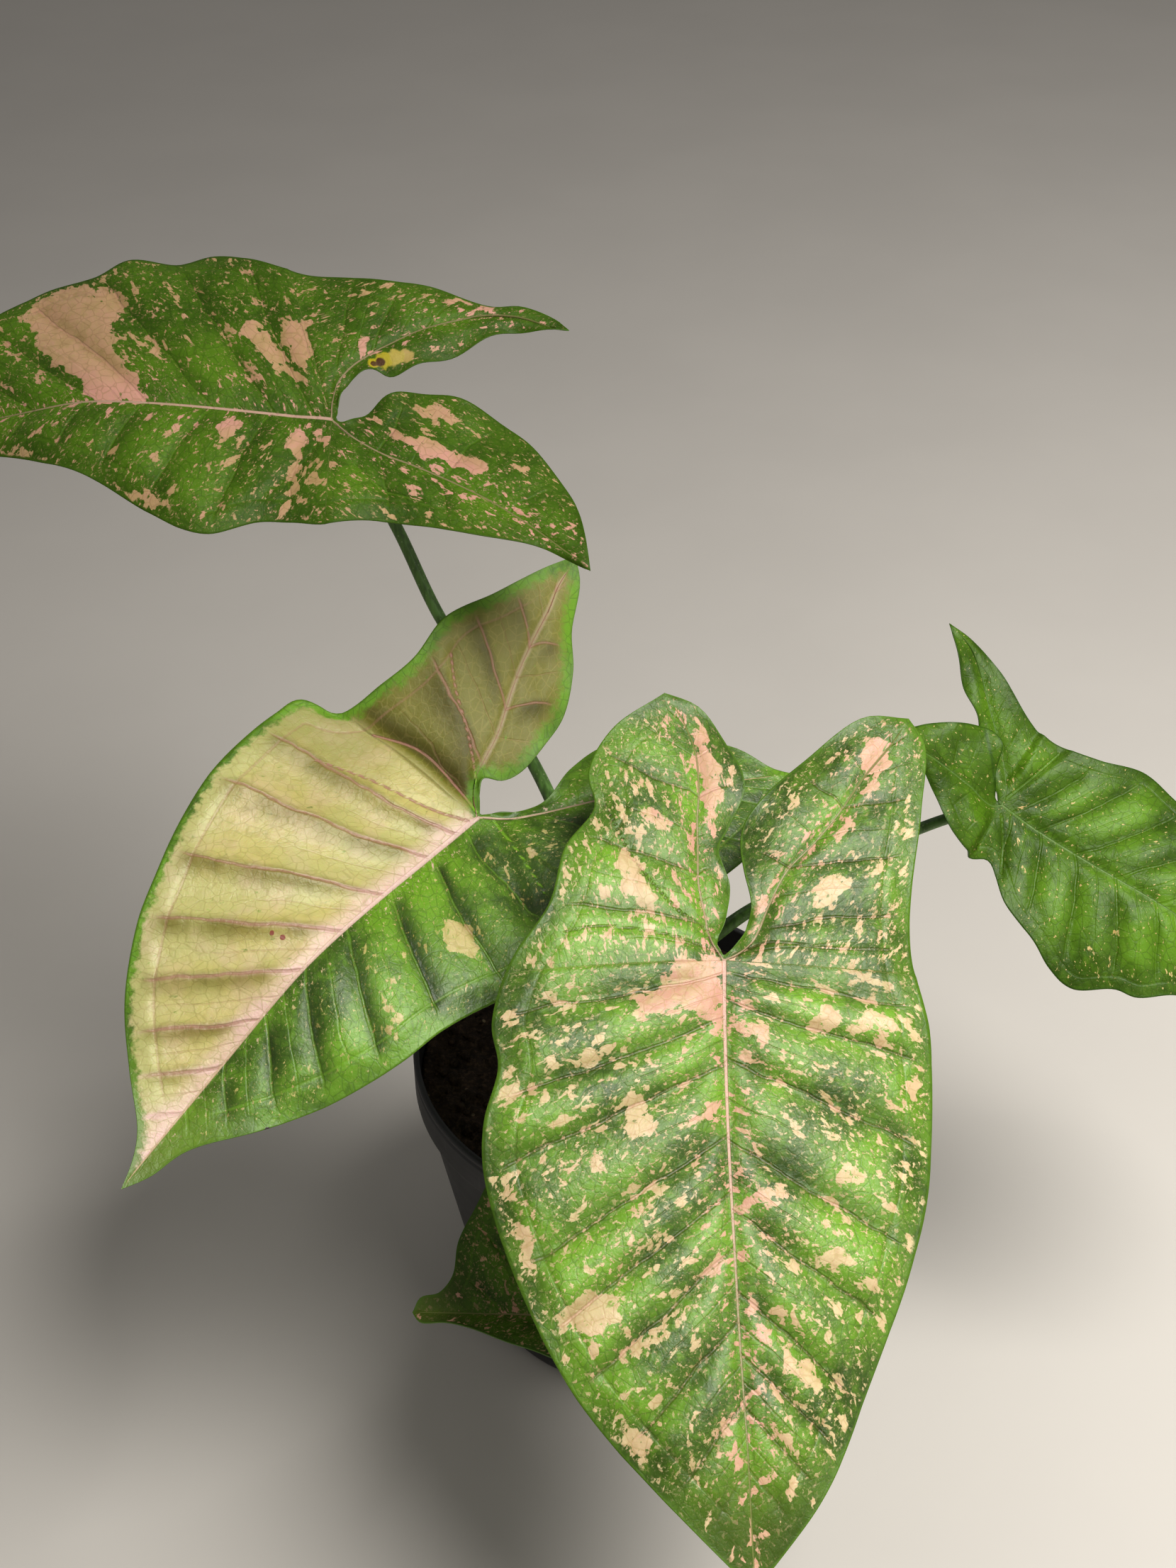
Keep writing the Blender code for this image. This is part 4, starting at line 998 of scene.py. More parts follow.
def blade_group(mark):
    """The pattern of a blade: green ground, flecks, patches, ribs, side veins, margin and underside, with
    painted shade beside the side veins, towards the margin and on the cream half's lobe.
    """
    if "blade_pattern" in bpy.data.node_groups:
        return bpy.data.node_groups["blade_pattern"]
    inputs = [(key, "Color" if hasattr(value, "__len__") else "Float", None) for key, value in mark.items()]
    tree, n, given, result = group("blade_pattern", inputs,
                                   [("Color", "Color"), ("Roughness", "Float"), ("Height", "Float")])
    x, y, upper = n.parts("flat")
    number, spacing, branch = n.parts("veins")
    margin, out, rim = n.parts("edge")
    across, along, zone = n.parts("grain")
    patch_distance, patch_pink, pale_ground = n.parts("patch")
    shade, glow, young = n.parts("tone")
    seed = n.plus(zone, given["seed"])
    flat = n.vector(x, y, given["seed"])

    def drawn(wide, long):
        return n.vector(n.times(across, wide), n.times(along, long), seed)

    def flecks(size, stretch, cut, step, soft=0.02):
        return n.use(fleck_group(), {"Across": across, "Along": along, "Seed": n.plus(seed, step),
                                     "Size": size, "Stretch": stretch, "Cut": cut, "Softness": soft})["Mask"]

    # mm to the nearest side vein and to the finer one halfway between two; both fade out to the tip
    number = n.plus(number, n.swing(n.noise(flat, 0.09), 0.22))
    beside = n.times(n.math("PINGPONG", number, 0.5), spacing)
    between = n.times(n.less(0.5, n.math("PINGPONG", number, 0.5)), spacing)
    inside = n.times(n.ramp(margin, 2.0, 6.0), n.ramp(glow, 0.02, 0.3))
    vein = n.times(n.ramp(beside, 0.5, 0.1), inside)
    fine = n.times(n.ramp(between, 0.3, 0.05), inside, n.ramp(out, 30.0, 8.0))
    # painted shade beside each side vein: on its joint side on green tissue, on its tip side on the pale
    # half, and close round the vein
    past = n.math("FRACT", number)
    valley_shade = n.mix(pale_ground, n.ramp(past, 0.58, 0.98), n.ramp(past, 0.42, 0.03))
    valley_shade = n.times(valley_shade, n.plus(0.5, n.times(n.ramp(n.noise(flat, 0.07), 0.35, 0.6), 0.5)))
    valley_shade = n.times(n.most(valley_shade, n.times(n.ramp(beside, 2.0, 0.2), 0.6)), inside, n.ramp(out, 1.0, 5.0))
    from_band = n.math("ABSOLUTE", n.less(rim, given["band"]))
    ring = n.times(n.ramp(from_band, 0.5, 0.1), n.ramp(out, 3.0, 7.0))
    fork = n.ramp(branch, 0.55, 0.2)
    net = n.ramp(n.cells(drawn(0.5, 0.36), 1.0, "DISTANCE_TO_EDGE"), 0.075, 0.01)
    bare = n.rest(n.times(shade, 0.65))
    dim = n.math("MINIMUM", shade, 1.0)
    rib_width = n.times(n.plus(0.16, n.times(glow, given["rib_width"], bare)), n.rest(n.times(dim, 0.7)))
    rib = n.ramp(n.over(out, rib_width), 1.2, 0.7)

    # green ground: cloudy, with painted shade along the side veins and towards the margin, darker in the net,
    # yellower on young tissue
    cloud = n.noise(flat, 0.05)
    tint = n.noise(drawn(0.5, 0.3), 1.0, 3.0)
    green = n.mix(n.ramp(cloud, 0.36, 0.66), given["green"], given["light"])
    green = n.mix(n.times(n.ramp(tint, 0.42, 0.72), 0.55), green, given["light"])
    green = n.mix(n.times(valley_shade, given["valley_shade"]), green, given["dark"])
    green = n.mix(n.times(net, 0.3), green, given["dark"])
    green = n.mix(n.times(young, 0.75), green, given["young"])
    # painted shade: darker towards the margin, where the blade turns away from the light
    green = n.mix(n.times(n.ramp(margin, 9.0, 0.5), given["edge"]), green, given["dark"])

    # cream: patches with ragged edges and green holes, three sizes of fleck, the pale ground; green margin
    ragged = n.times(n.less(n.noise(drawn(0.75, 0.42), 1.0, 4.0, 0.62), 0.47), given["ragged"])
    patch = n.ramp(n.plus(patch_distance, ragged), 0.14, -0.14)
    holes = n.times(flecks(1.1, 2.0, given["holes"], 9.7), n.ramp(patch_distance, -2.5, -0.3))
    patch = n.times(patch, n.rest(holes))
    crowd = n.plus(0.35, n.times(n.ramp(n.noise(flat, 0.11), 0.3, 0.6), 0.65))
    small = flecks(given["small"], 1.7, given["small_cut"], 5.1, 0.03)
    tiny = flecks(n.times(given["small"], 0.45), 1.5, n.less(given["small_cut"], 0.01), 7.3, 0.06)
    small = n.times(n.most(small, n.times(tiny, given["tiny"])), crowd, n.rest(n.times(young, 0.75)))
    flecked = n.most(flecks(given["big"], 2.3, given["big_cut"], 1.3), small)
    ground = n.times(pale_ground, n.rest(n.times(flecks(1.6, 2.0, given["ground_cut"], 3.9, 0.05), 0.6)))
    cream = n.math("MAXIMUM", patch, n.most(flecked, ground), clamp=True)
    rim_place = n.vector(n.times(x, 0.45), n.times(y, 0.45), given["seed"])
    from_rim = n.plus(margin, n.swing(n.noise(rim_place, 1.0, 4.0, 0.65), given["rim"], 2.4))
    rim_wide = n.times(given["rim"], n.plus(1.0, n.times(dim, 0.7)))
    cream = n.times(cream, n.rest(n.ramp(n.over(from_rim, rim_wide), 1.0, 0.3)))

    # pink gathers along the ribs, beside the side veins and inside the rosy patches
    near_rib = n.ramp(out, n.times(given["reach"], n.rest(n.times(dim, 0.82))), 0.3)
    near_vein = n.times(n.ramp(beside, 1.1, 0.1), n.ramp(out, 26.0, 4.0), pale_ground,
                        n.ramp(shade, 0.7, 0.1), 0.6)
    blush = n.times(n.ramp(n.noise(flat, 0.13), 0.42, 0.7), n.rest(n.times(dim, 0.9)), 0.3)
    blush = n.plus(blush, n.times(near_rib, n.rest(n.times(dim, 0.6)), 0.8), near_vein)
    blush = n.plus(n.times(blush, given["blush"]), given["pinkness"])
    blush = n.math("MAXIMUM", blush, n.times(patch_pink, patch, n.ramp(tint, 0.72, 0.38)), clamp=True)

    # pale tissue: tanned by the net, duller at the margin, olive on the lobe and darkened there by painted
    # shade, with painted shade in the valleys and a painted shadow band along the lobe's crease
    pale = n.mix(n.times(n.ramp(tint, 0.4, 0.75), 0.35), given["cream"], given["tan"])
    pale = n.mix(n.times(n.ramp(cloud, 0.45, 0.62), pale_ground, 0.55), pale, given["rim_tint"])
    rim_pale = n.times(n.ramp(n.plus(from_rim, n.swing(cloud, 8.0)), 10.0, 3.0), pale_ground)
    pale = n.mix(n.times(rim_pale, 0.8), pale, given["rim_tint"])
    pale = n.mix(n.times(shade, given["olive_share"]), pale, given["olive"])
    pale = n.mix(blush, pale, given["pink"])
    pale = n.mix(n.times(net, 0.35), pale, given["tan"])
    # painted shade in the valleys of the pale tissue, weaker near the ribs
    sunk = n.times(valley_shade, given["valley_shade"], n.rest(n.times(near_rib, 0.7)))
    pale = n.mix(sunk, pale, n.mix(1.0, pale, (0.48, 0.455, 0.25), "MULTIPLY"))
    # painted shadow band where shade is above 1, along the crease of the cream half's lobe
    pale = n.mix(n.ramp(shade, 1.05, 1.5), pale, n.mix(1.0, pale, (0.5, 0.46, 0.36), "MULTIPLY"))

    # all together, with the veins, the ribs, the thin hem and the duller underside on top
    colour = n.mix(cream, green, pale)
    shown = n.times(vein, given["veins"], n.plus(0.5, n.times(pale_ground, 0.5)))
    for line, share in ((ring, (given["ring"],)), (fine, (given["veins"], 0.3)), (fork, (given["fork"],))):
        shown = n.most(shown, n.times(line, *share))
    colour = n.mix(shown, colour, n.mix(cream, given["vein"], given["pale_vein"]))
    rib_colour = n.mix(n.ramp(glow, 0.1, 0.8), given["rib_tip"], given["rib"])
    rib_colour = n.mix(shade, rib_colour, given["pale_vein"])
    colour = n.mix(n.times(rib, given["ribs"]), colour, rib_colour)
    colour = n.mix(n.times(n.ramp(margin, 0.6, 0.1), 0.7), colour, given["hem"])
    n.feed(result["Color"], n.mix(upper, n.mix(0.6, colour, given["under"]), colour))

    n.feed(result["Roughness"], n.plus(given["rough"], n.times(tint, 0.12), n.times(shade, 0.15),
                                       n.times(n.rest(upper), 0.2)))
    height = n.times(n.most(vein, n.most(fork, n.times(fine, 0.45))), -0.7)
    height = n.less(height, n.times(net, 0.07))
    height = n.plus(height, n.times(n.noise(flat, 0.55), 0.8), n.times(n.noise(flat, 2.3), 0.22))
    n.feed(result["Height"], n.less(n.less(height, n.times(rib, 0.5)), n.times(ring, 0.25)))
    return tree


def start_material(name):
    """A new material, a writer for its nodes, and its shader."""
    made = bpy.data.materials.new(name)
    made.use_nodes = True
    return made, Nodes(made.node_tree), made.node_tree.nodes["Principled BSDF"]


def feed_shader(n, shader, colour, rough, height, strength, distance):
    """Feeds the shader its colour, its roughness, and a bump of this strength and distance in metres."""
    n.feed(shader.inputs["Base Color"], colour)
    n.feed(shader.inputs["Roughness"], rough)
    bump = n.add("ShaderNodeBump", {"Strength": strength, "Distance": distance, "Height": height})
    n.feed(shader.inputs["Normal"], bump.outputs[0])


def shades(colour, *shares):
    """The colour times each share."""
    return [tuple(min(1.0, part * share) for part in colour) for share in shares]


def leaf_mark(name, leaf, look):
    """What this leaf's pattern is fed, and its gloss. The greens are the look's times the leaf's shares."""
    own = dict(MARKS[name])
    low, high, gloss = own.pop("low"), own.pop("high"), own.pop("gloss")
    green, light = np.array(look.green), np.array(look.light_green) * high
    return {**COMMON, "band": leaf["band"], "green": tuple(green * low), "light": tuple(light),
            "dark": tuple(green * low * 0.42), "cream": tuple(look.cream), "pink": tuple(look.pink),
            "vein": tuple(light * 1.2), "hem": tuple(light * 0.55), **own}, gloss


def blade_material(name, leaf, look):
    """One leaf's skin: the blade pattern with this leaf's values, its single spots, and the gloss."""
    mark, gloss = leaf_mark(name, leaf, look)
    spots = SPOTS.get(name, ())
    made, n, shader = start_material(name + "_blade")
    skin = n.use(blade_group(mark), mark)
    colour = skin["Color"]
    if spots:
        x, y, _ = n.parts("flat")
        flat = n.vector(x, y)
    for spot_x, spot_y, reach, spot in spots:
        colour = n.use(spot_group(), {"Color": colour, "Flat": flat, "Place": (spot_x, spot_y, 0.0),
                                      "Reach": reach, "Spot": spot})["Color"]
    feed_shader(n, shader, colour, skin["Roughness"], skin["Height"], 0.55, 0.4 * MM)
    shader.inputs["Specular IOR Level"].default_value = gloss
    shader.inputs["Subsurface Weight"].default_value = 0.1
    shader.inputs["Subsurface Radius"].default_value = (0.3, 1.0, 0.15)
    shader.inputs["Subsurface Scale"].default_value = 1 * MM
    return made


def stalk_material(look):
    """Green skin of the stalks and the stem: paler where "foot" is 1, with streaks and fine pale dots."""
    if "stalk_skin" in bpy.data.materials:
        return bpy.data.materials["stalk_skin"]
    made, n, shader = start_material("stalk_skin")
    place = n.object_place()
    streak = n.use(streak_group(), {"Place": place, "Stretch": (900.0, 900.0, 60.0)})["Streak"]
    dots = n.ramp(n.cells(place, 900.0), 0.22, 0.1)
    green = n.mix(n.ramp(streak, 0.3, 0.7), *shades(look.green, 0.6, 1.25))
    foot = n.mix(n.ramp(streak, 0.35, 0.65), *shades(look.foot, 0.7, 1.0))
    green = n.mix(n.parts("foot")[0], green, foot)
    green = n.mix(n.times(dots, 0.35), green, (0.45, 0.50, 0.28))
    feed_shader(n, shader, green, n.plus(0.34, n.times(streak, 0.16)), streak, 0.35, 0.1 * MM)
    return made


def soil_material(look):
    """Damp peat: dark crumbs of several browns, a few pale bits, and a rough grain."""
    made, n, shader = start_material("soil_crumb")
    place = n.object_place()
    grain = n.noise(place, 900.0, 4.0, 0.65)
    clod = n.noise(place, 160.0, 3.0)
    dark, middle, light = shades(look.colour, 0.45, 1.0, 2.6)
    colour = n.mix(n.ramp(clod, 0.35, 0.65), dark, middle)
    colour = n.mix(n.ramp(grain, 0.45, 0.7), colour, light)
    pale = n.times(n.ramp(n.cells(place, 260.0), 0.17, 0.12), n.ramp(clod, 0.52, 0.6), 0.75)
    colour = n.mix(pale, colour, (0.30, 0.23, 0.15))
    feed_shader(n, shader, colour, n.plus(0.78, n.times(grain, 0.2)), grain, 0.9, 0.6 * MM)
    shader.inputs["Specular IOR Level"].default_value = 0.25
    return made


def pot_material(look):
    """Black nursery plastic: faint moulding streaks round it, dust near the foot and fine scuffs."""
    made, n, shader = start_material("pot_plastic")
    place = n.object_place()
    height = n.add("ShaderNodeSeparateXYZ", {0: place}).outputs[2]
    streak = n.use(streak_group(), {"Place": place, "Stretch": (60.0, 60.0, 700.0)})["Streak"]
    scuff = n.use(streak_group(), {"Place": place, "Stretch": (900.0, 900.0, 90.0), "Detail": 2.0})["Streak"]
    dust = n.noise(place, 55.0, 5.0, 0.6)
    colour = n.mix(n.ramp(streak, 0.3, 0.7), *shades(look.colour, 1.0, 1.7))
    dusty = n.plus(0.25, n.times(n.ramp(height, 30 * MM, 0.0), 0.5))
    colour = n.mix(n.times(n.ramp(dust, 0.5, 0.75), dusty), colour, (0.065, 0.058, 0.05))
    colour = n.mix(n.times(n.ramp(scuff, 0.66, 0.72), 0.3), colour, (0.08, 0.08, 0.08))
    feed_shader(n, shader, colour, n.plus(0.34, n.times(dust, 0.3)), streak, 0.3, 0.12 * MM)
    return made


def floor_material(look):
    """Matt floor paint: two close tones and a fine grain."""
    made, n, shader = start_material("floor_paint")
    place = n.object_place()
    tone = n.noise(place, 10.0, 4.0)
    colour = n.mix(n.ramp(tone, 0.3, 0.7), *shades(look.floor, 0.985, 1.015))
    rough = n.plus(0.74, n.times(tone, 0.12))
    feed_shader(n, shader, colour, rough, n.noise(place, 40.0, 3.0), 0.6, 0.2 * MM)
    return made


# What the blades' pattern is fed, by default and where a leaf differs. Sizes and reaches are in mm.
# low, high: shares of the two greens. big, small: sizes of the flecks, whose cuts rise as they get fewer,
# as do ground_cut for the green flecks on the cream half and holes for those in patches. tiny: strength
# of the finest flecks. ragged: how far a patch's edge strays. blush, pinkness: pink where it gathers and
# everywhere, and reach how far it spreads from a rib. veins, ring, fork, ribs: strength of the side
# veins, the one along the margin, the branches and the ribs. rib_width: half width of a rib. rim: width
# of the green margin. edge, valley_shade: strength of the painted shade towards the margin and along the
# side veins. olive_share: share of olive on the lobe, its own colour darkened by painted shade. hem:
# colour of the margin's very edge.
COMMON = {
    "seed": 0.0, "big": 2.0, "big_cut": 0.645, "small": 0.9, "small_cut": 0.625, "tiny": 0.6, "holes": 0.65,
    "ragged": 3.0, "ground_cut": 0.7, "blush": 0.8, "pinkness": 0.1, "reach": 9.0, "veins": 0.25,
    "ring": 0.2, "fork": 0.4, "ribs": 0.9, "rib_width": 0.3, "rim": 0.9, "edge": 0.4, "valley_shade": 0.7,
    "olive_share": 0.0, "rough": 0.36, "tan": (0.42, 0.28, 0.1), "olive": (0.17, 0.155, 0.032),
    "young": (0.15, 0.22, 0.02), "pale_vein": (0.6, 0.33, 0.25), "rib": (0.58, 0.36, 0.28),
    "rib_tip": (0.2, 0.22, 0.06), "rim_tint": (0.36, 0.38, 0.13), "under": (0.17, 0.26, 0.09),
}
MARKS = {
    "leaf_front": {
        "seed": 3.0, "low": 0.62, "high": 1.02, "big": 2.1, "big_cut": 0.604, "small_cut": 0.606,
        "tiny": 0.35, "holes": 0.62, "ragged": 2.6, "pinkness": 0.12, "reach": 12.0, "veins": 0.85,
        "ring": 0.12, "fork": 0.5, "rim": 1.5, "valley_shade": 0.5, "rough": 0.38, "gloss": 0.5,
        # young: a dark green, partly the tip's own and partly painted shade of the tip bending away from the
        # light. vein: dark reddish lines, partly their own colour and partly painted shade in the grooves.
        "cream": (0.64, 0.54, 0.3), "pink": (0.6, 0.33, 0.24), "young": (0.075, 0.13, 0.004),
        "vein": (0.06, 0.04, 0.008),
    },
    "leaf_left": {
        "seed": 11.0, "low": 0.65, "high": 1.0, "big": 1.9, "big_cut": 0.675, "small": 0.8,
        "small_cut": 0.635, "tiny": 0.4, "blush": 1.0, "pinkness": 0.0, "reach": 6.0, "veins": 0.6,
        "ring": 0.3, "fork": 0.8, "rib_width": 0.55, "rim": 2.4, "edge": 0.1, "valley_shade": 1.0,
        "olive_share": 0.9, "rough": 0.38, "gloss": 0.55, "cream": (0.55, 0.485, 0.175),
        "pink": (0.7, 0.49, 0.41), "tan": (0.33, 0.29, 0.08), "olive": (0.165, 0.155, 0.012),
        "pale_vein": (0.37, 0.18, 0.13), "rib": (0.72, 0.52, 0.45), "rib_tip": (0.52, 0.38, 0.22),
        "rim_tint": (0.5, 0.49, 0.2),
    },
    "leaf_back_left": {
        "seed": 23.0, "low": 0.62, "high": 0.555, "big": 2.1, "big_cut": 0.622, "small": 1.0, "tiny": 0.35,
        "ragged": 2.2, "blush": 1.0, "pinkness": 0.3, "reach": 12.0, "veins": 0.5, "ring": 0.1,
        "fork": 0.25, "rim": 0.8, "valley_shade": 0.45, "rough": 0.4, "gloss": 0.15, "cream": (0.42, 0.32, 0.13),
        "pink": (0.56, 0.31, 0.235), "tan": (0.26, 0.18, 0.07), "rib": (0.54, 0.36, 0.28),
        "rib_tip": (0.16, 0.16, 0.05),
    },
    "leaf_right": {
        "seed": 37.0, "low": 0.56, "high": 0.7, "big": 1.5, "big_cut": 0.7, "small": 0.6, "small_cut": 0.66,
        "tiny": 0.12, "holes": 0.7, "ragged": 0.4, "blush": 0.2, "pinkness": 0.0, "reach": 5.0,
        "veins": 0.15, "ring": 0.0, "fork": 0.2, "ribs": 0.7, "rib_width": 0.15, "rim": 0.8, "valley_shade": 0.55,
        "rough": 0.34, "gloss": 0.2, "rib": (0.13, 0.22, 0.05), "rib_tip": (0.1, 0.18, 0.04),
        # hem: a darker edge all round, painted shade standing for the shadow where the front lobe lies over
        # the blade
        "hem": (0.03, 0.075, 0.004),
    },
    "leaf_low": {
        "seed": 51.0, "low": 0.48, "high": 0.78, "big": 1.7, "big_cut": 0.65, "small_cut": 0.62,
        "ragged": 2.5, "blush": 0.7, "pinkness": 0.5, "reach": 12.0, "veins": 0.4, "fork": 0.3, "rim": 0.8,
        "rough": 0.42, "gloss": 0.3,
    },
}

# Single spots: x, y and reach in mm, and colour.
SPOTS = {
    "leaf_back_left": ((17.6, -16.2, 1.7, (0.40, 0.30, 0.10)), (17.2, -13.8, 2.0, (0.42, 0.34, 0.08)),
                       (16.5, -11.0, 1.9, (0.40, 0.34, 0.03)), (15.6, -8.8, 1.3, (0.42, 0.35, 0.02)),
                       (16.0, -10.4, 1.1, (0.08, 0.035, 0.01)), (15.4, -8.9, 0.7, (0.10, 0.05, 0.01))),
    "leaf_left": ((-14.0, 84.0, 0.7, (0.03, 0.015, 0.01)), (11.0, 52.2, 0.6, (0.25, 0.06, 0.03)),
                  (13.3, 53.0, 0.5, (0.25, 0.06, 0.03))),
}


# Shapes of the stalks and the stem

def joint_on_blade(leaf):
    """The place where a stalk meets its blade, and the blade's normal there."""
    x, y = np.array([0.0, 0.5, 0.0]), np.array([0.0, 0.0, 0.5])
    height = leaf_height(leaf, 1, x, y, np.zeros(3), np.full(3, 0.5))
    joint, across, along, out, _ = leaf_axes(leaf)
    spots = joint + x[:, None] * across + y[:, None] * along + height[:, None] * out
    up = np.cross(spots[1] - spots[0], spots[2] - spots[0])
    return spots[0], up / np.linalg.norm(up)


def stalk_radius(look, line, run, angle):
    """Radius round a stalk: the line's own, less a bell-shaped groove along the upper side, plus a
    wing on each side of it where it opens into the sheath, times a swelling that falls off from the
    blade as a bell 3 mm wide, times nine faint ribs."""
    length = np.linalg.norm(np.diff(line[:, :3], axis=0), axis=1).sum()
    sheath = smooth_step(0.30, 0.0, run)[:, None]
    deep = look.groove * (0.35 + 0.65 * smooth_step(1.0, 0.6, run)[:, None] + 1.3 * sheath)
    wide = 0.42 + 0.35 * sheath
    from_top = angle - math.pi / 2
    shape = 1 - deep * bell(from_top, wide)
    shape = shape + 0.10 * sheath * bell(np.abs(from_top) - 1.75 * wide, 0.22)
    swelling = 1 + 0.10 * bell((1 - run) * length, 3.0)[:, None]
    return line[:, 3:] * shape * swelling * (1 + 0.012 * np.cos(9 * angle))


def stem_radius(line, angle):
    """Radius round the stem: the line's own times bell-shaped rings at the leaf scars and thirteen
    wavering furrows, plus five root bumps at the soil."""
    height = line[:, 2:3]
    scars = sum(bell(height - level, 0.45) for level in (86.5, 91.0, 96.5, 101.0, 105.5))
    bumps = bell(height - 84.2, 1.0) * np.maximum(np.cos(5 * angle), 0) ** 4
    furrows = 0.012 * np.cos(13 * angle + 0.6 * np.sin(height))
    return line[:, 3:] * (0.97 + 0.05 * scars + furrows) + 0.5 * bumps


# What the blades' corners keep for their material besides "flat", by attribute.
CORNER_DATA = {
    "veins": ("number", "spacing", "branch"), "edge": ("margin", "out", "rim"),
    "grain": ("across", "along", "zone"), "patch": ("near", "rosy", "pale"),
    "tone": ("shade", "glow", "fresh"),
}


def add_tones(data, name, leaf):
    """Adds what the pattern reads besides distances.

    zone: a number of its own for each part, so that the flecks differ. near and rosy: the patches.
    pale: 1 on the cream half. shade: the lobe of that half, olive in its own colour and darkened by painted
    shade, above 1 along the crease for a painted shadow band, and up to 0.45 beside the lobe towards the
    margin. glow: the light ribs, 1 at the joint. fresh: young tissue near the tip.
    """
    x, y, rib, right = data["x"], data["y"], data["rib"], data["side"] > 0
    length = leaf_axes(leaf)[4]
    data["zone"] = 13.0 * right + 29.0 * (rib < 0)
    data["near"], data["rosy"] = patches(data, *PATCHES.get(name, ((), ())))
    data["pale"] = right * (1.0 if name == CREAM_LEAF else 0.0)
    # the bell along the crease lifts shade above 1: a painted shadow band there
    lobe = smooth_step(3.0, -4.0, y) * (1 + 0.5 * bell(y + 5 - 0.12 * x, 5))
    beside_it = 0.45 * smooth_step(34.0, 8.0, y) * smooth_step(12.0, 32.0, x)
    data["shade"] = data["pale"] * np.maximum(lobe, beside_it)
    data["glow"] = np.where(rib < 0, 0.45, 1.0) * (1 - np.clip(np.abs(rib) / length, 0, 1))
    data["fresh"] = smooth_step(0.70, 0.93, rib / length)


# Operators, one for each group of pieces

class PLANT_OT_leaves(bpy.types.Operator):
    """Build the five leaf blades"""
    bl_idname = "plant.leaves"
    bl_label = "Leaf blades"

    def execute(self, context):
        look = context.scene.plant_blade
        for name in LEAVES:
            leaf = {**LEAVES[name], **VEINS[name]}
            places, faces, source, data = blade(leaf, look)
            add_tones(data, name, leaf)
            mesh = new_mesh(name, places, faces)
            corners = source.ravel()
            corner_values(mesh, "flat", data["x"][corners], data["y"][corners], np.repeat(data["upper"], 4))
            for attribute, keys in CORNER_DATA.items():
                corner_values(mesh, attribute, *(data[key][corners] for key in keys))
            piece(name + "_blade", mesh, blade_material(name, leaf, look), name)
        return {"FINISHED"}


class PLANT_OT_stalks(bpy.types.Operator):
    """Build the five leaf stalks"""
    bl_idname = "plant.stalks"
    bl_label = "Leaf stalks"

    def execute(self, context):
        look = context.scene.plant_stalk
        for name, (leaf_name, route) in STALKS.items():
            spot, up = joint_on_blade(LEAVES[leaf_name])
            ends = [(*(spot - depth * up), route[-1][3]) for depth in STALK_END_DEPTHS]
            run = 1 - (1 - even(STALK_ROWS)) ** 1.4
            line = smooth_line([*route, *ends], run)
            radius = stalk_radius(look, line, run, round_angles(STALK_SIDES))
            mesh, row = tube(name, tube_grid(line[:, :3], radius))
            corner_values(mesh, "foot", smooth_step(0.28, 0.0, run)[row])
            piece(name + "_skin", mesh, stalk_material(look), name)
        return {"FINISHED"}


class PLANT_OT_stem(bpy.types.Operator):
    """Build the short main stem"""
    bl_idname = "plant.stem"
    bl_label = "Stem"

    def execute(self, context):
        look = context.scene.plant_stalk
        run = even(STEM_ROWS)
        line = smooth_line(STEM_ROUTE, run)
        radius = stem_radius(line, round_angles(STEM_SIDES))
        mesh, row = tube("stem", tube_grid(line[:, :3], radius, (0.0, 1.0, 0.0)))
        corner_values(mesh, "foot", np.minimum(smooth_step(0.28, 0.0, 0.4 * run) + 0.6, 1.0)[row])
        piece("stem_skin", mesh, stalk_material(look), "stem")
        return {"FINISHED"}


def pot_sizes(look):
    """In mm: outer radius under the band, rim and base radius, height to the band, full height, wall."""
    sizes = look.top_radius, look.base_radius, look.height, look.wall
    rim, base, full, wall = (value / MM for value in sizes)
    return rim - look.step / MM, rim, base, full - look.band / MM, full, wall


def pot_inside(look, height):
    """Inner radius at this height: base + (mid - base) * height / low, above low the rim's, less the wall."""
    mid, rim, base, low, _, wall = pot_sizes(look)
    return np.where(height > low, rim, base + (mid - base) * np.clip(height / low, 0, 1)) - wall


def pot_outline(look):
    """Half section of the side, (radius, height): up the outer side, over the rolled rim, down the inner.

    Below the rim band the outer radius is base + (mid - base) * height / low.
    """
    mid, rim, base, low, full, wall = pot_sizes(look)
    up = np.array((5, 10, 18, 26, 34, 42, 50, 58, 66, 72, 76, 78), float)
    down = np.array((74, 66, 58, 50, 42, 34, 26, 18, 10, 5), float)
    foot = ((base - FOOT, 0.0), (base - 1.6, 0.25), (base - 0.6, 1.0), (base - 0.05, 2.4))
    band = ((mid + 0.15, low - 0.35), (mid + 0.6, low - 0.05), (rim - 0.45, low + 0.2),
            (rim - 0.1, low + 0.6), (rim, low + 1.3), (rim, full - 7.0), (rim, full - 3.4),
            (rim - 0.05, full - 2.7), (rim - 0.35, full - 2.4), (rim - 0.35, full - 1.9),
            (rim - 0.02, full - 1.5), (rim, full - 0.8), (rim - 0.2, full - 0.25), (rim - 0.6, full),
            (rim - wall + 0.4, full), (rim - wall + 0.08, full - 0.2), (rim - wall, full - 0.7),
            (rim - wall, low + 0.9), (rim - wall - 0.2, low + 0.3), (mid - wall + 0.3, low),
            (mid - wall, low - 0.5))
    corner = ((base - wall - 0.6, 2.6), (base - wall - 1.2, 1.9), (base - FOOT, wall))
    return np.vstack([foot, np.column_stack([base + (mid - base) * up / low, up]), band,
                      np.column_stack([base + (mid - base) * down / low - wall, down]), corner])


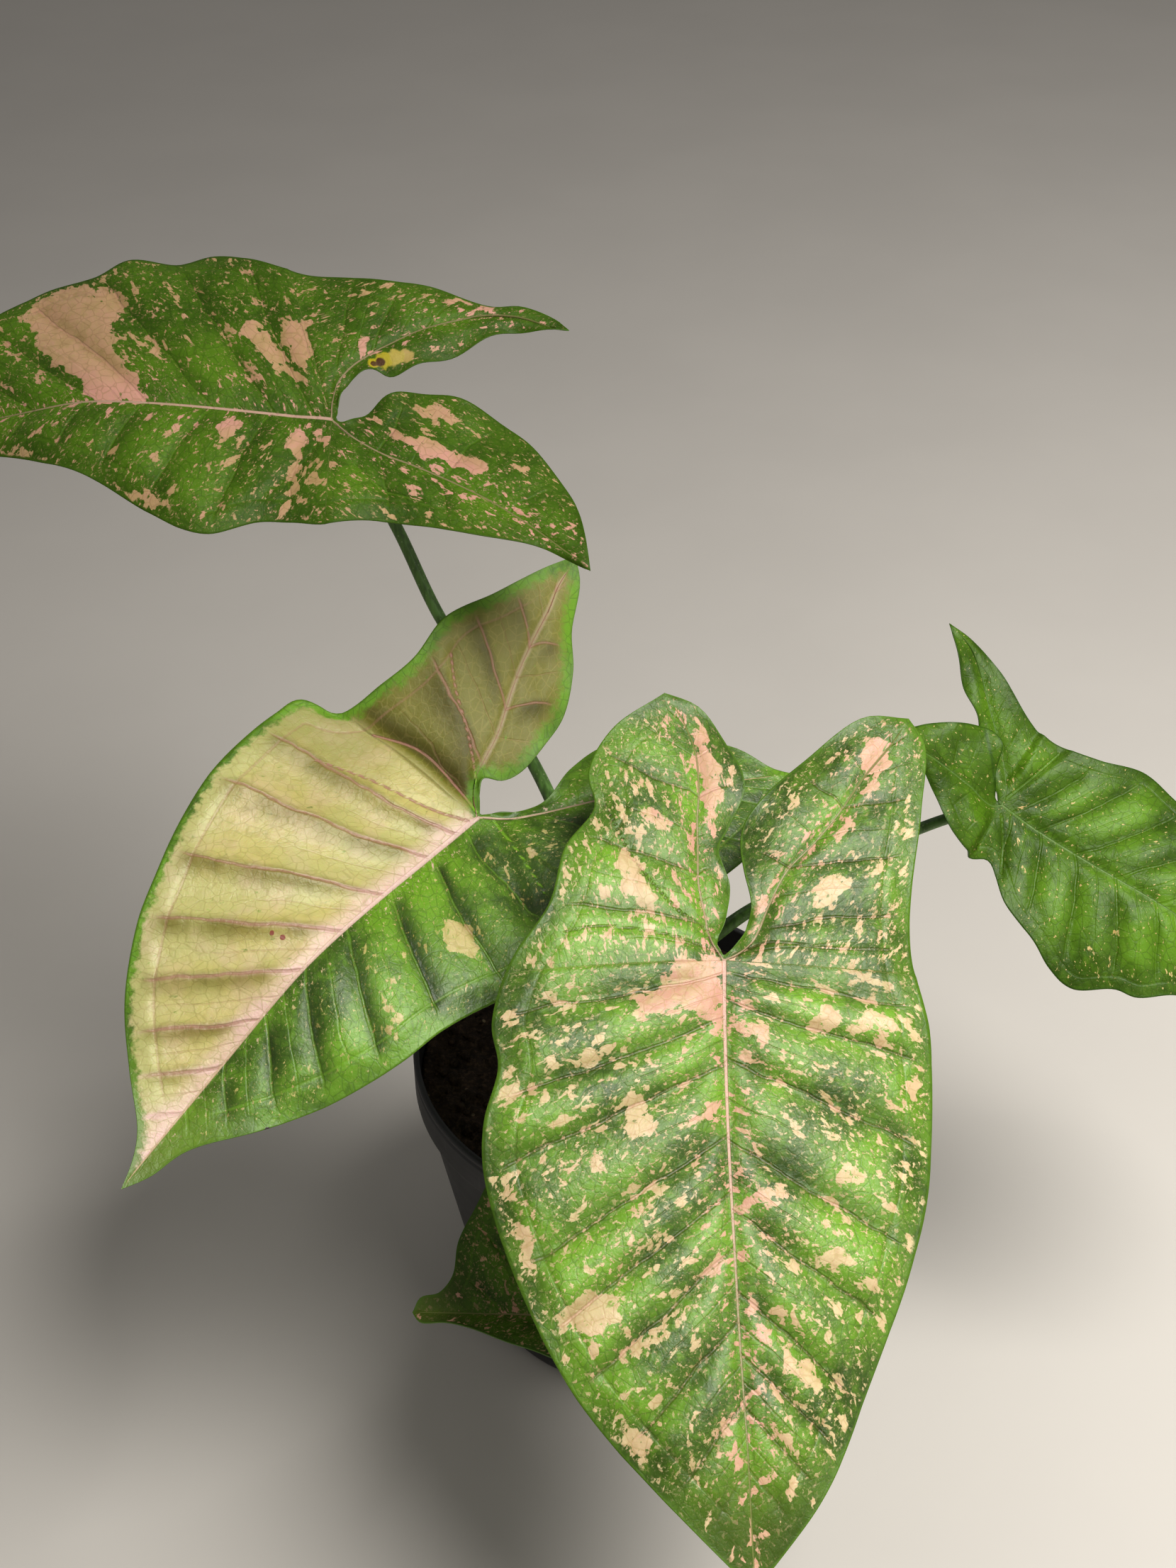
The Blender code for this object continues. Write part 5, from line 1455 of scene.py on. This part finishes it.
def pot_floor(look, level, first):
    """One face of the pot's floor: places, quads that face up, and the ring of numbers round each hole.

    A disc fills the middle. Round each drain hole a plate's rows run from the hole's edge to the
    edge of its sector: place = edge * (1 - share) + sector * share.
    """
    outer, rows = look.base_radius / MM - FOOT, POT_FLOOR_ROWS
    sides = SIDES_PER_HOLE * look.drains
    angle = round_angles(sides)
    disc = (even(rows + 1)[1:] * HUB_RADIUS)[:, None, None] * np.stack([np.cos(angle), np.sin(angle)], -1)
    numbers = first + np.arange(rows * sides).reshape(rows, sides)
    centre = first + numbers.size
    ring = numbers[0]
    quads = [ring_quads(numbers)[:, ::-1],
             np.stack([np.full(sides // 2, centre), ring[::2], ring[1::2], np.roll(ring, -1)[1::2]], -1)]
    places, holes, first = [disc.reshape(-1, 2), np.zeros((1, 2))], [], centre + 1
    span = 2 * math.pi / look.drains
    share = (even(rows) ** 1.3)[:, None, None]
    for start in np.arange(look.drains) * span:
        arc = start + even(SIDES_PER_HOLE + 1) * span
        curve = np.stack([np.cos(arc), np.sin(arc)], -1)
        down = np.linspace(outer, HUB_RADIUS, rows + 1)[:, None]
        sector = np.vstack([curve * outer, down[1:] * curve[-1], curve[::-1][1:] * HUB_RADIUS,
                            down[::-1][1:-1] * curve[0]])
        middle = look.drain_ring / MM * np.array([math.cos(start + span / 2), math.sin(start + span / 2)])
        away = sector - middle
        edge = middle + look.drain_radius / MM * away / np.linalg.norm(away, axis=1, keepdims=True)
        numbers = first + np.arange(rows * len(sector)).reshape(rows, -1)
        quads.append(ring_quads(numbers)[:, ::-1])
        places.append((edge * (1 - share) + sector * share).reshape(-1, 2))
        holes.append(numbers[0])
        first += numbers.size
    flat = np.vstack(places)
    return np.column_stack([flat, np.full(len(flat), level)]), np.vstack(quads), holes


# Lumps of the soil: length and height in mm, and turn in radians.
LUMPS = ((11.0, 0.8, 0.4), (7.0, 0.5, 1.7), (4.3, 0.42, 2.9), (2.7, 0.3, 0.9), (1.7, 0.22, 2.2))


def lumps(x, y):
    """Uneven ground: the sum of products of sine waves with swaying phases."""
    total = np.zeros_like(x)
    for size, reach, turn in LUMPS:
        u, v = (place * 2 * math.pi / size for place in turned_places(x, y, turn))
        total += reach * np.sin(u + 1.7 * np.sin(0.61 * v)) * np.sin(v + 1.9 * np.sin(0.53 * u))
    return total


def ground(x, y):
    """Height of the soil over its level: slow sine hills, a bell-shaped mound at the stem, and lumps."""
    hills = 0.6 * np.sin(0.09 * x + 1) * np.sin(0.11 * y + 0.4)
    return hills + 1.1 * bell(np.hypot(x, y), 11) + 0.75 * lumps(x, y)


def soil_body(pot, top):
    """The soil's places, walls and ends, and its radius at the top.

    Rings run from the middle of the top out, down the wall and in under it. On the top the height
    is level - dip + ground, calmed towards the pot's wall.
    """
    floor = pot.wall / MM + SOIL_GAP
    angle = round_angles(SOIL_SIDES)
    rim = float(pot_inside(pot, top)) - SOIL_GAP
    down = np.array([60.0, 40.0, 20.0, 6.0, floor])
    top_rings = even(SOIL_RINGS)[1:] * rim
    radius = np.concatenate([top_rings, pot_inside(pot, down) - SOIL_GAP, [22.0, 5.0]])[:, None]
    level = np.concatenate([np.full(len(top_rings), top), down, [floor, floor]])[:, None]
    x, y = radius * np.cos(angle), radius * np.sin(angle)
    calm = smooth_step(1.0, 0.93, radius / rim)
    rough_top = level - SOIL_DIP + (0.2 + 0.8 * calm) * ground(x, y)
    z = np.where(np.arange(len(radius))[:, None] < len(top_rings), rough_top, level + 0 * x)
    places = np.vstack([np.stack([x, y, z], -1).reshape(-1, 3), [0, 0, z[0].mean()], [0, 0, floor]])
    return places, *closed_rings(*x.shape), rim


def soil_crumbs(count, rim, top):
    """Places, walls and ends of loose crumbs, which are balls on the ground, squashed and turned.

    A ball's radius is 1 plus sine dents that fade at the poles.
    """
    chance = np.random.default_rng(CRUMB_SEED)
    rows, sides = CRUMB_ROWS, CRUMB_SIDES
    size = 0.45 + 1.5 * chance.random(count) ** 3
    reach = (rim - 2.5) * np.sqrt(0.012 + 0.985 * chance.random(count))
    turn = 2 * math.pi * chance.random(count)
    x, y = reach * np.cos(turn), reach * np.sin(turn)
    z = top - SOIL_DIP + ground(x, y) + 0.15 * size
    tilt = even(rows + 2)[None, 1:-1, None] * math.pi
    angle = round_angles(sides)
    phase = 6.3 * chance.random((count, 4))[:, :, None, None]
    dent = 0.24 * np.sin(2 * angle + phase[:, 0]) * np.sin(3 * tilt + phase[:, 1])
    dent = dent + 0.14 * np.sin(5 * angle + phase[:, 2]) * np.sin(4 * tilt + phase[:, 3])
    dent = 1 + dent * np.sin(tilt)
    ball = np.stack([np.sin(tilt) * np.cos(angle) * dent, np.sin(tilt) * np.sin(angle) * dent,
                     np.cos(tilt) * dent], -1).reshape(count, -1, 3)
    poles = np.broadcast_to([[0.0, 0.0, 1.0], [0.0, 0.0, -1.0]], (count, 2, 3))
    squash = 0.55 + 0.6 * chance.random((count, 3))
    ball = np.concatenate([ball, poles], 1) * (squash * size[:, None])[:, None]
    lean = 2 * math.pi * chance.random(count)[:, None]
    ball = np.stack([ball[..., 0] * np.cos(lean) - ball[..., 2] * np.sin(lean), ball[..., 1],
                     ball[..., 0] * np.sin(lean) + ball[..., 2] * np.cos(lean)], -1)
    places = ball + np.stack([x, y, z], -1)[:, None]
    walls, ends = closed_rings(rows, sides)
    shift = (np.arange(count) * (rows * sides + 2))[:, None, None]
    return places.reshape(-1, 3), (walls + shift).reshape(-1, 4), (ends + shift).reshape(-1, 3)


class PLANT_OT_soil(bpy.types.Operator):
    """Build the potting soil with its loose crumbs"""
    bl_idname = "plant.soil"
    bl_label = "Soil"

    def execute(self, context):
        look = context.scene.plant_soil
        top = look.level / MM
        places, walls, ends, rim = soil_body(context.scene.plant_pot, top)
        crumbs, crumb_walls, crumb_ends = soil_crumbs(look.crumbs, rim, top)
        mesh = new_mesh("soil", np.vstack([places, crumbs]), np.vstack([walls, crumb_walls + len(places)]),
                        np.vstack([ends, crumb_ends + len(places)]))
        piece("soil_crumb", mesh, soil_material(look), "soil")
        return {"FINISHED"}


class PLANT_OT_pot(bpy.types.Operator):
    """Build the nursery pot"""
    bl_idname = "plant.pot"
    bl_label = "Pot"

    def execute(self, context):
        look = context.scene.plant_pot
        outline = pot_outline(look)
        angle = round_angles(SIDES_PER_HOLE * look.drains)
        radius, height = outline[:, :1], outline[:, 1:]
        side = np.stack([radius * np.cos(angle), radius * np.sin(angle), height + 0 * angle], -1)
        numbers = np.arange(side.shape[0] * side.shape[1]).reshape(side.shape[:2])
        under, under_quads, under_holes = pot_floor(look, 0.0, numbers.size)
        upper, upper_quads, upper_holes = pot_floor(look, look.wall / MM, numbers.size + len(under))
        bores = [ring_quads(np.stack(pair))[:, ::-1] for pair in zip(under_holes, upper_holes)]
        places = np.vstack([side.reshape(-1, 3), under, upper])
        faces = np.vstack([ring_quads(numbers), under_quads[:, ::-1], upper_quads, *bores])
        cells = np.round(places / WELD).astype(int)
        _, keep, weld = np.unique(cells, axis=0, return_index=True, return_inverse=True)
        mesh = new_mesh("pot", places[keep], weld.reshape(-1)[faces])
        mesh.set_sharp_from_angle(angle=math.radians(50))
        piece("pot_plastic", mesh, pot_material(look), "pot")
        return {"FINISHED"}


# Lamps: name, place and aim in metres, size, share of the key light's power, colour.
LAMPS = (
    ("key", (0.46, -0.33, 1.15), (0.60, -0.20, 0.0), 0.7, 1.0, (1.0, 0.985, 0.955)),
    ("side", (1.2, -0.9, 0.6), (0.25, -0.15, 0.0), 0.6, 0.08, (1.0, 0.965, 0.92)),
)


class PLANT_OT_stage(bpy.types.Operator):
    """Set out the floor, the lights and the camera"""
    bl_idname = "plant.stage"
    bl_label = "Stage"

    def execute(self, context):
        look = context.scene.plant_stage
        corners = [(x * FLOOR_REACH, y * FLOOR_REACH, 0) for x, y in ((-1, -1), (1, -1), (1, 1), (-1, 1))]
        mesh = bpy.data.meshes.new("floor")
        mesh.from_pydata(corners, [], [(0, 1, 2, 3)])
        mesh.materials.append(floor_material(look))
        placed("floor", mesh)
        for name, place, aim, size, share, tint in LAMPS:
            lamp = bpy.data.lights.new(name, "AREA")
            lamp.shape, lamp.size, lamp.energy, lamp.color = "DISK", size, look.key * share, tint
            lamp.spread = math.radians(116)
            turn = (Vector(aim) - Vector(place)).to_track_quat("-Z", "Y").to_euler()
            placed(name, lamp, place, turn)
        world = bpy.data.worlds.new("room")
        world.use_nodes = True
        sky = world.node_tree.nodes["Background"].inputs
        sky["Color"].default_value = (1.0, 0.985, 0.96, 1.0)
        sky["Strength"].default_value = look.fill
        context.scene.world = world
        context.scene.view_settings.view_transform = "Standard"
        context.scene.view_settings.gamma = 0.88
        lens = bpy.data.cameras.new("camera")
        lens.lens = SENSOR * FOCAL_PIXELS / PHOTO_HEIGHT
        lens.clip_start, lens.clip_end = 0.01, 50.0
        context.scene.camera = placed("camera", lens, CAMERA_PLACE, (math.radians(CAMERA_TILT), 0.0, 0.0))
        return {"FINISHED"}


OPERATORS = (PLANT_OT_pot, PLANT_OT_soil, PLANT_OT_stem, PLANT_OT_stalks, PLANT_OT_leaves, PLANT_OT_stage)


class PLANT_PT_panel(bpy.types.Panel):
    """The pieces and their sizes and colours"""
    bl_idname = "PLANT_PT_panel"
    bl_label = "Potted syngonium"
    bl_space_type = "VIEW_3D"
    bl_region_type = "UI"
    bl_category = "Syngonium"

    def draw(self, context):
        for operator in OPERATORS:
            self.layout.operator(operator.bl_idname)
        for look in SCENE_LOOKS:
            box = self.layout.box()
            settings = getattr(context.scene, look)
            for key in settings.__annotations__:
                box.prop(settings, key)


CLASSES = (*SCENE_LOOKS.values(), *OPERATORS, PLANT_PT_panel)


def register():
    """Registers the classes and gives the scene its groups of sizes and colours."""
    for kind in CLASSES:
        bpy.utils.register_class(kind)
    for key, kind in SCENE_LOOKS.items():
        setattr(bpy.types.Scene, key, PointerProperty(type=kind))


def unregister():
    """Takes back what register did."""
    for key in SCENE_LOOKS:
        delattr(bpy.types.Scene, key)
    for kind in reversed(CLASSES):
        bpy.utils.unregister_class(kind)


def main():
    """Builds all the pieces in order."""
    register()
    bpy.ops.plant.pot()
    bpy.ops.plant.soil()
    bpy.ops.plant.stem()
    bpy.ops.plant.stalks()
    bpy.ops.plant.leaves()
    bpy.ops.plant.stage()


if __name__ == "__main__":
    main()
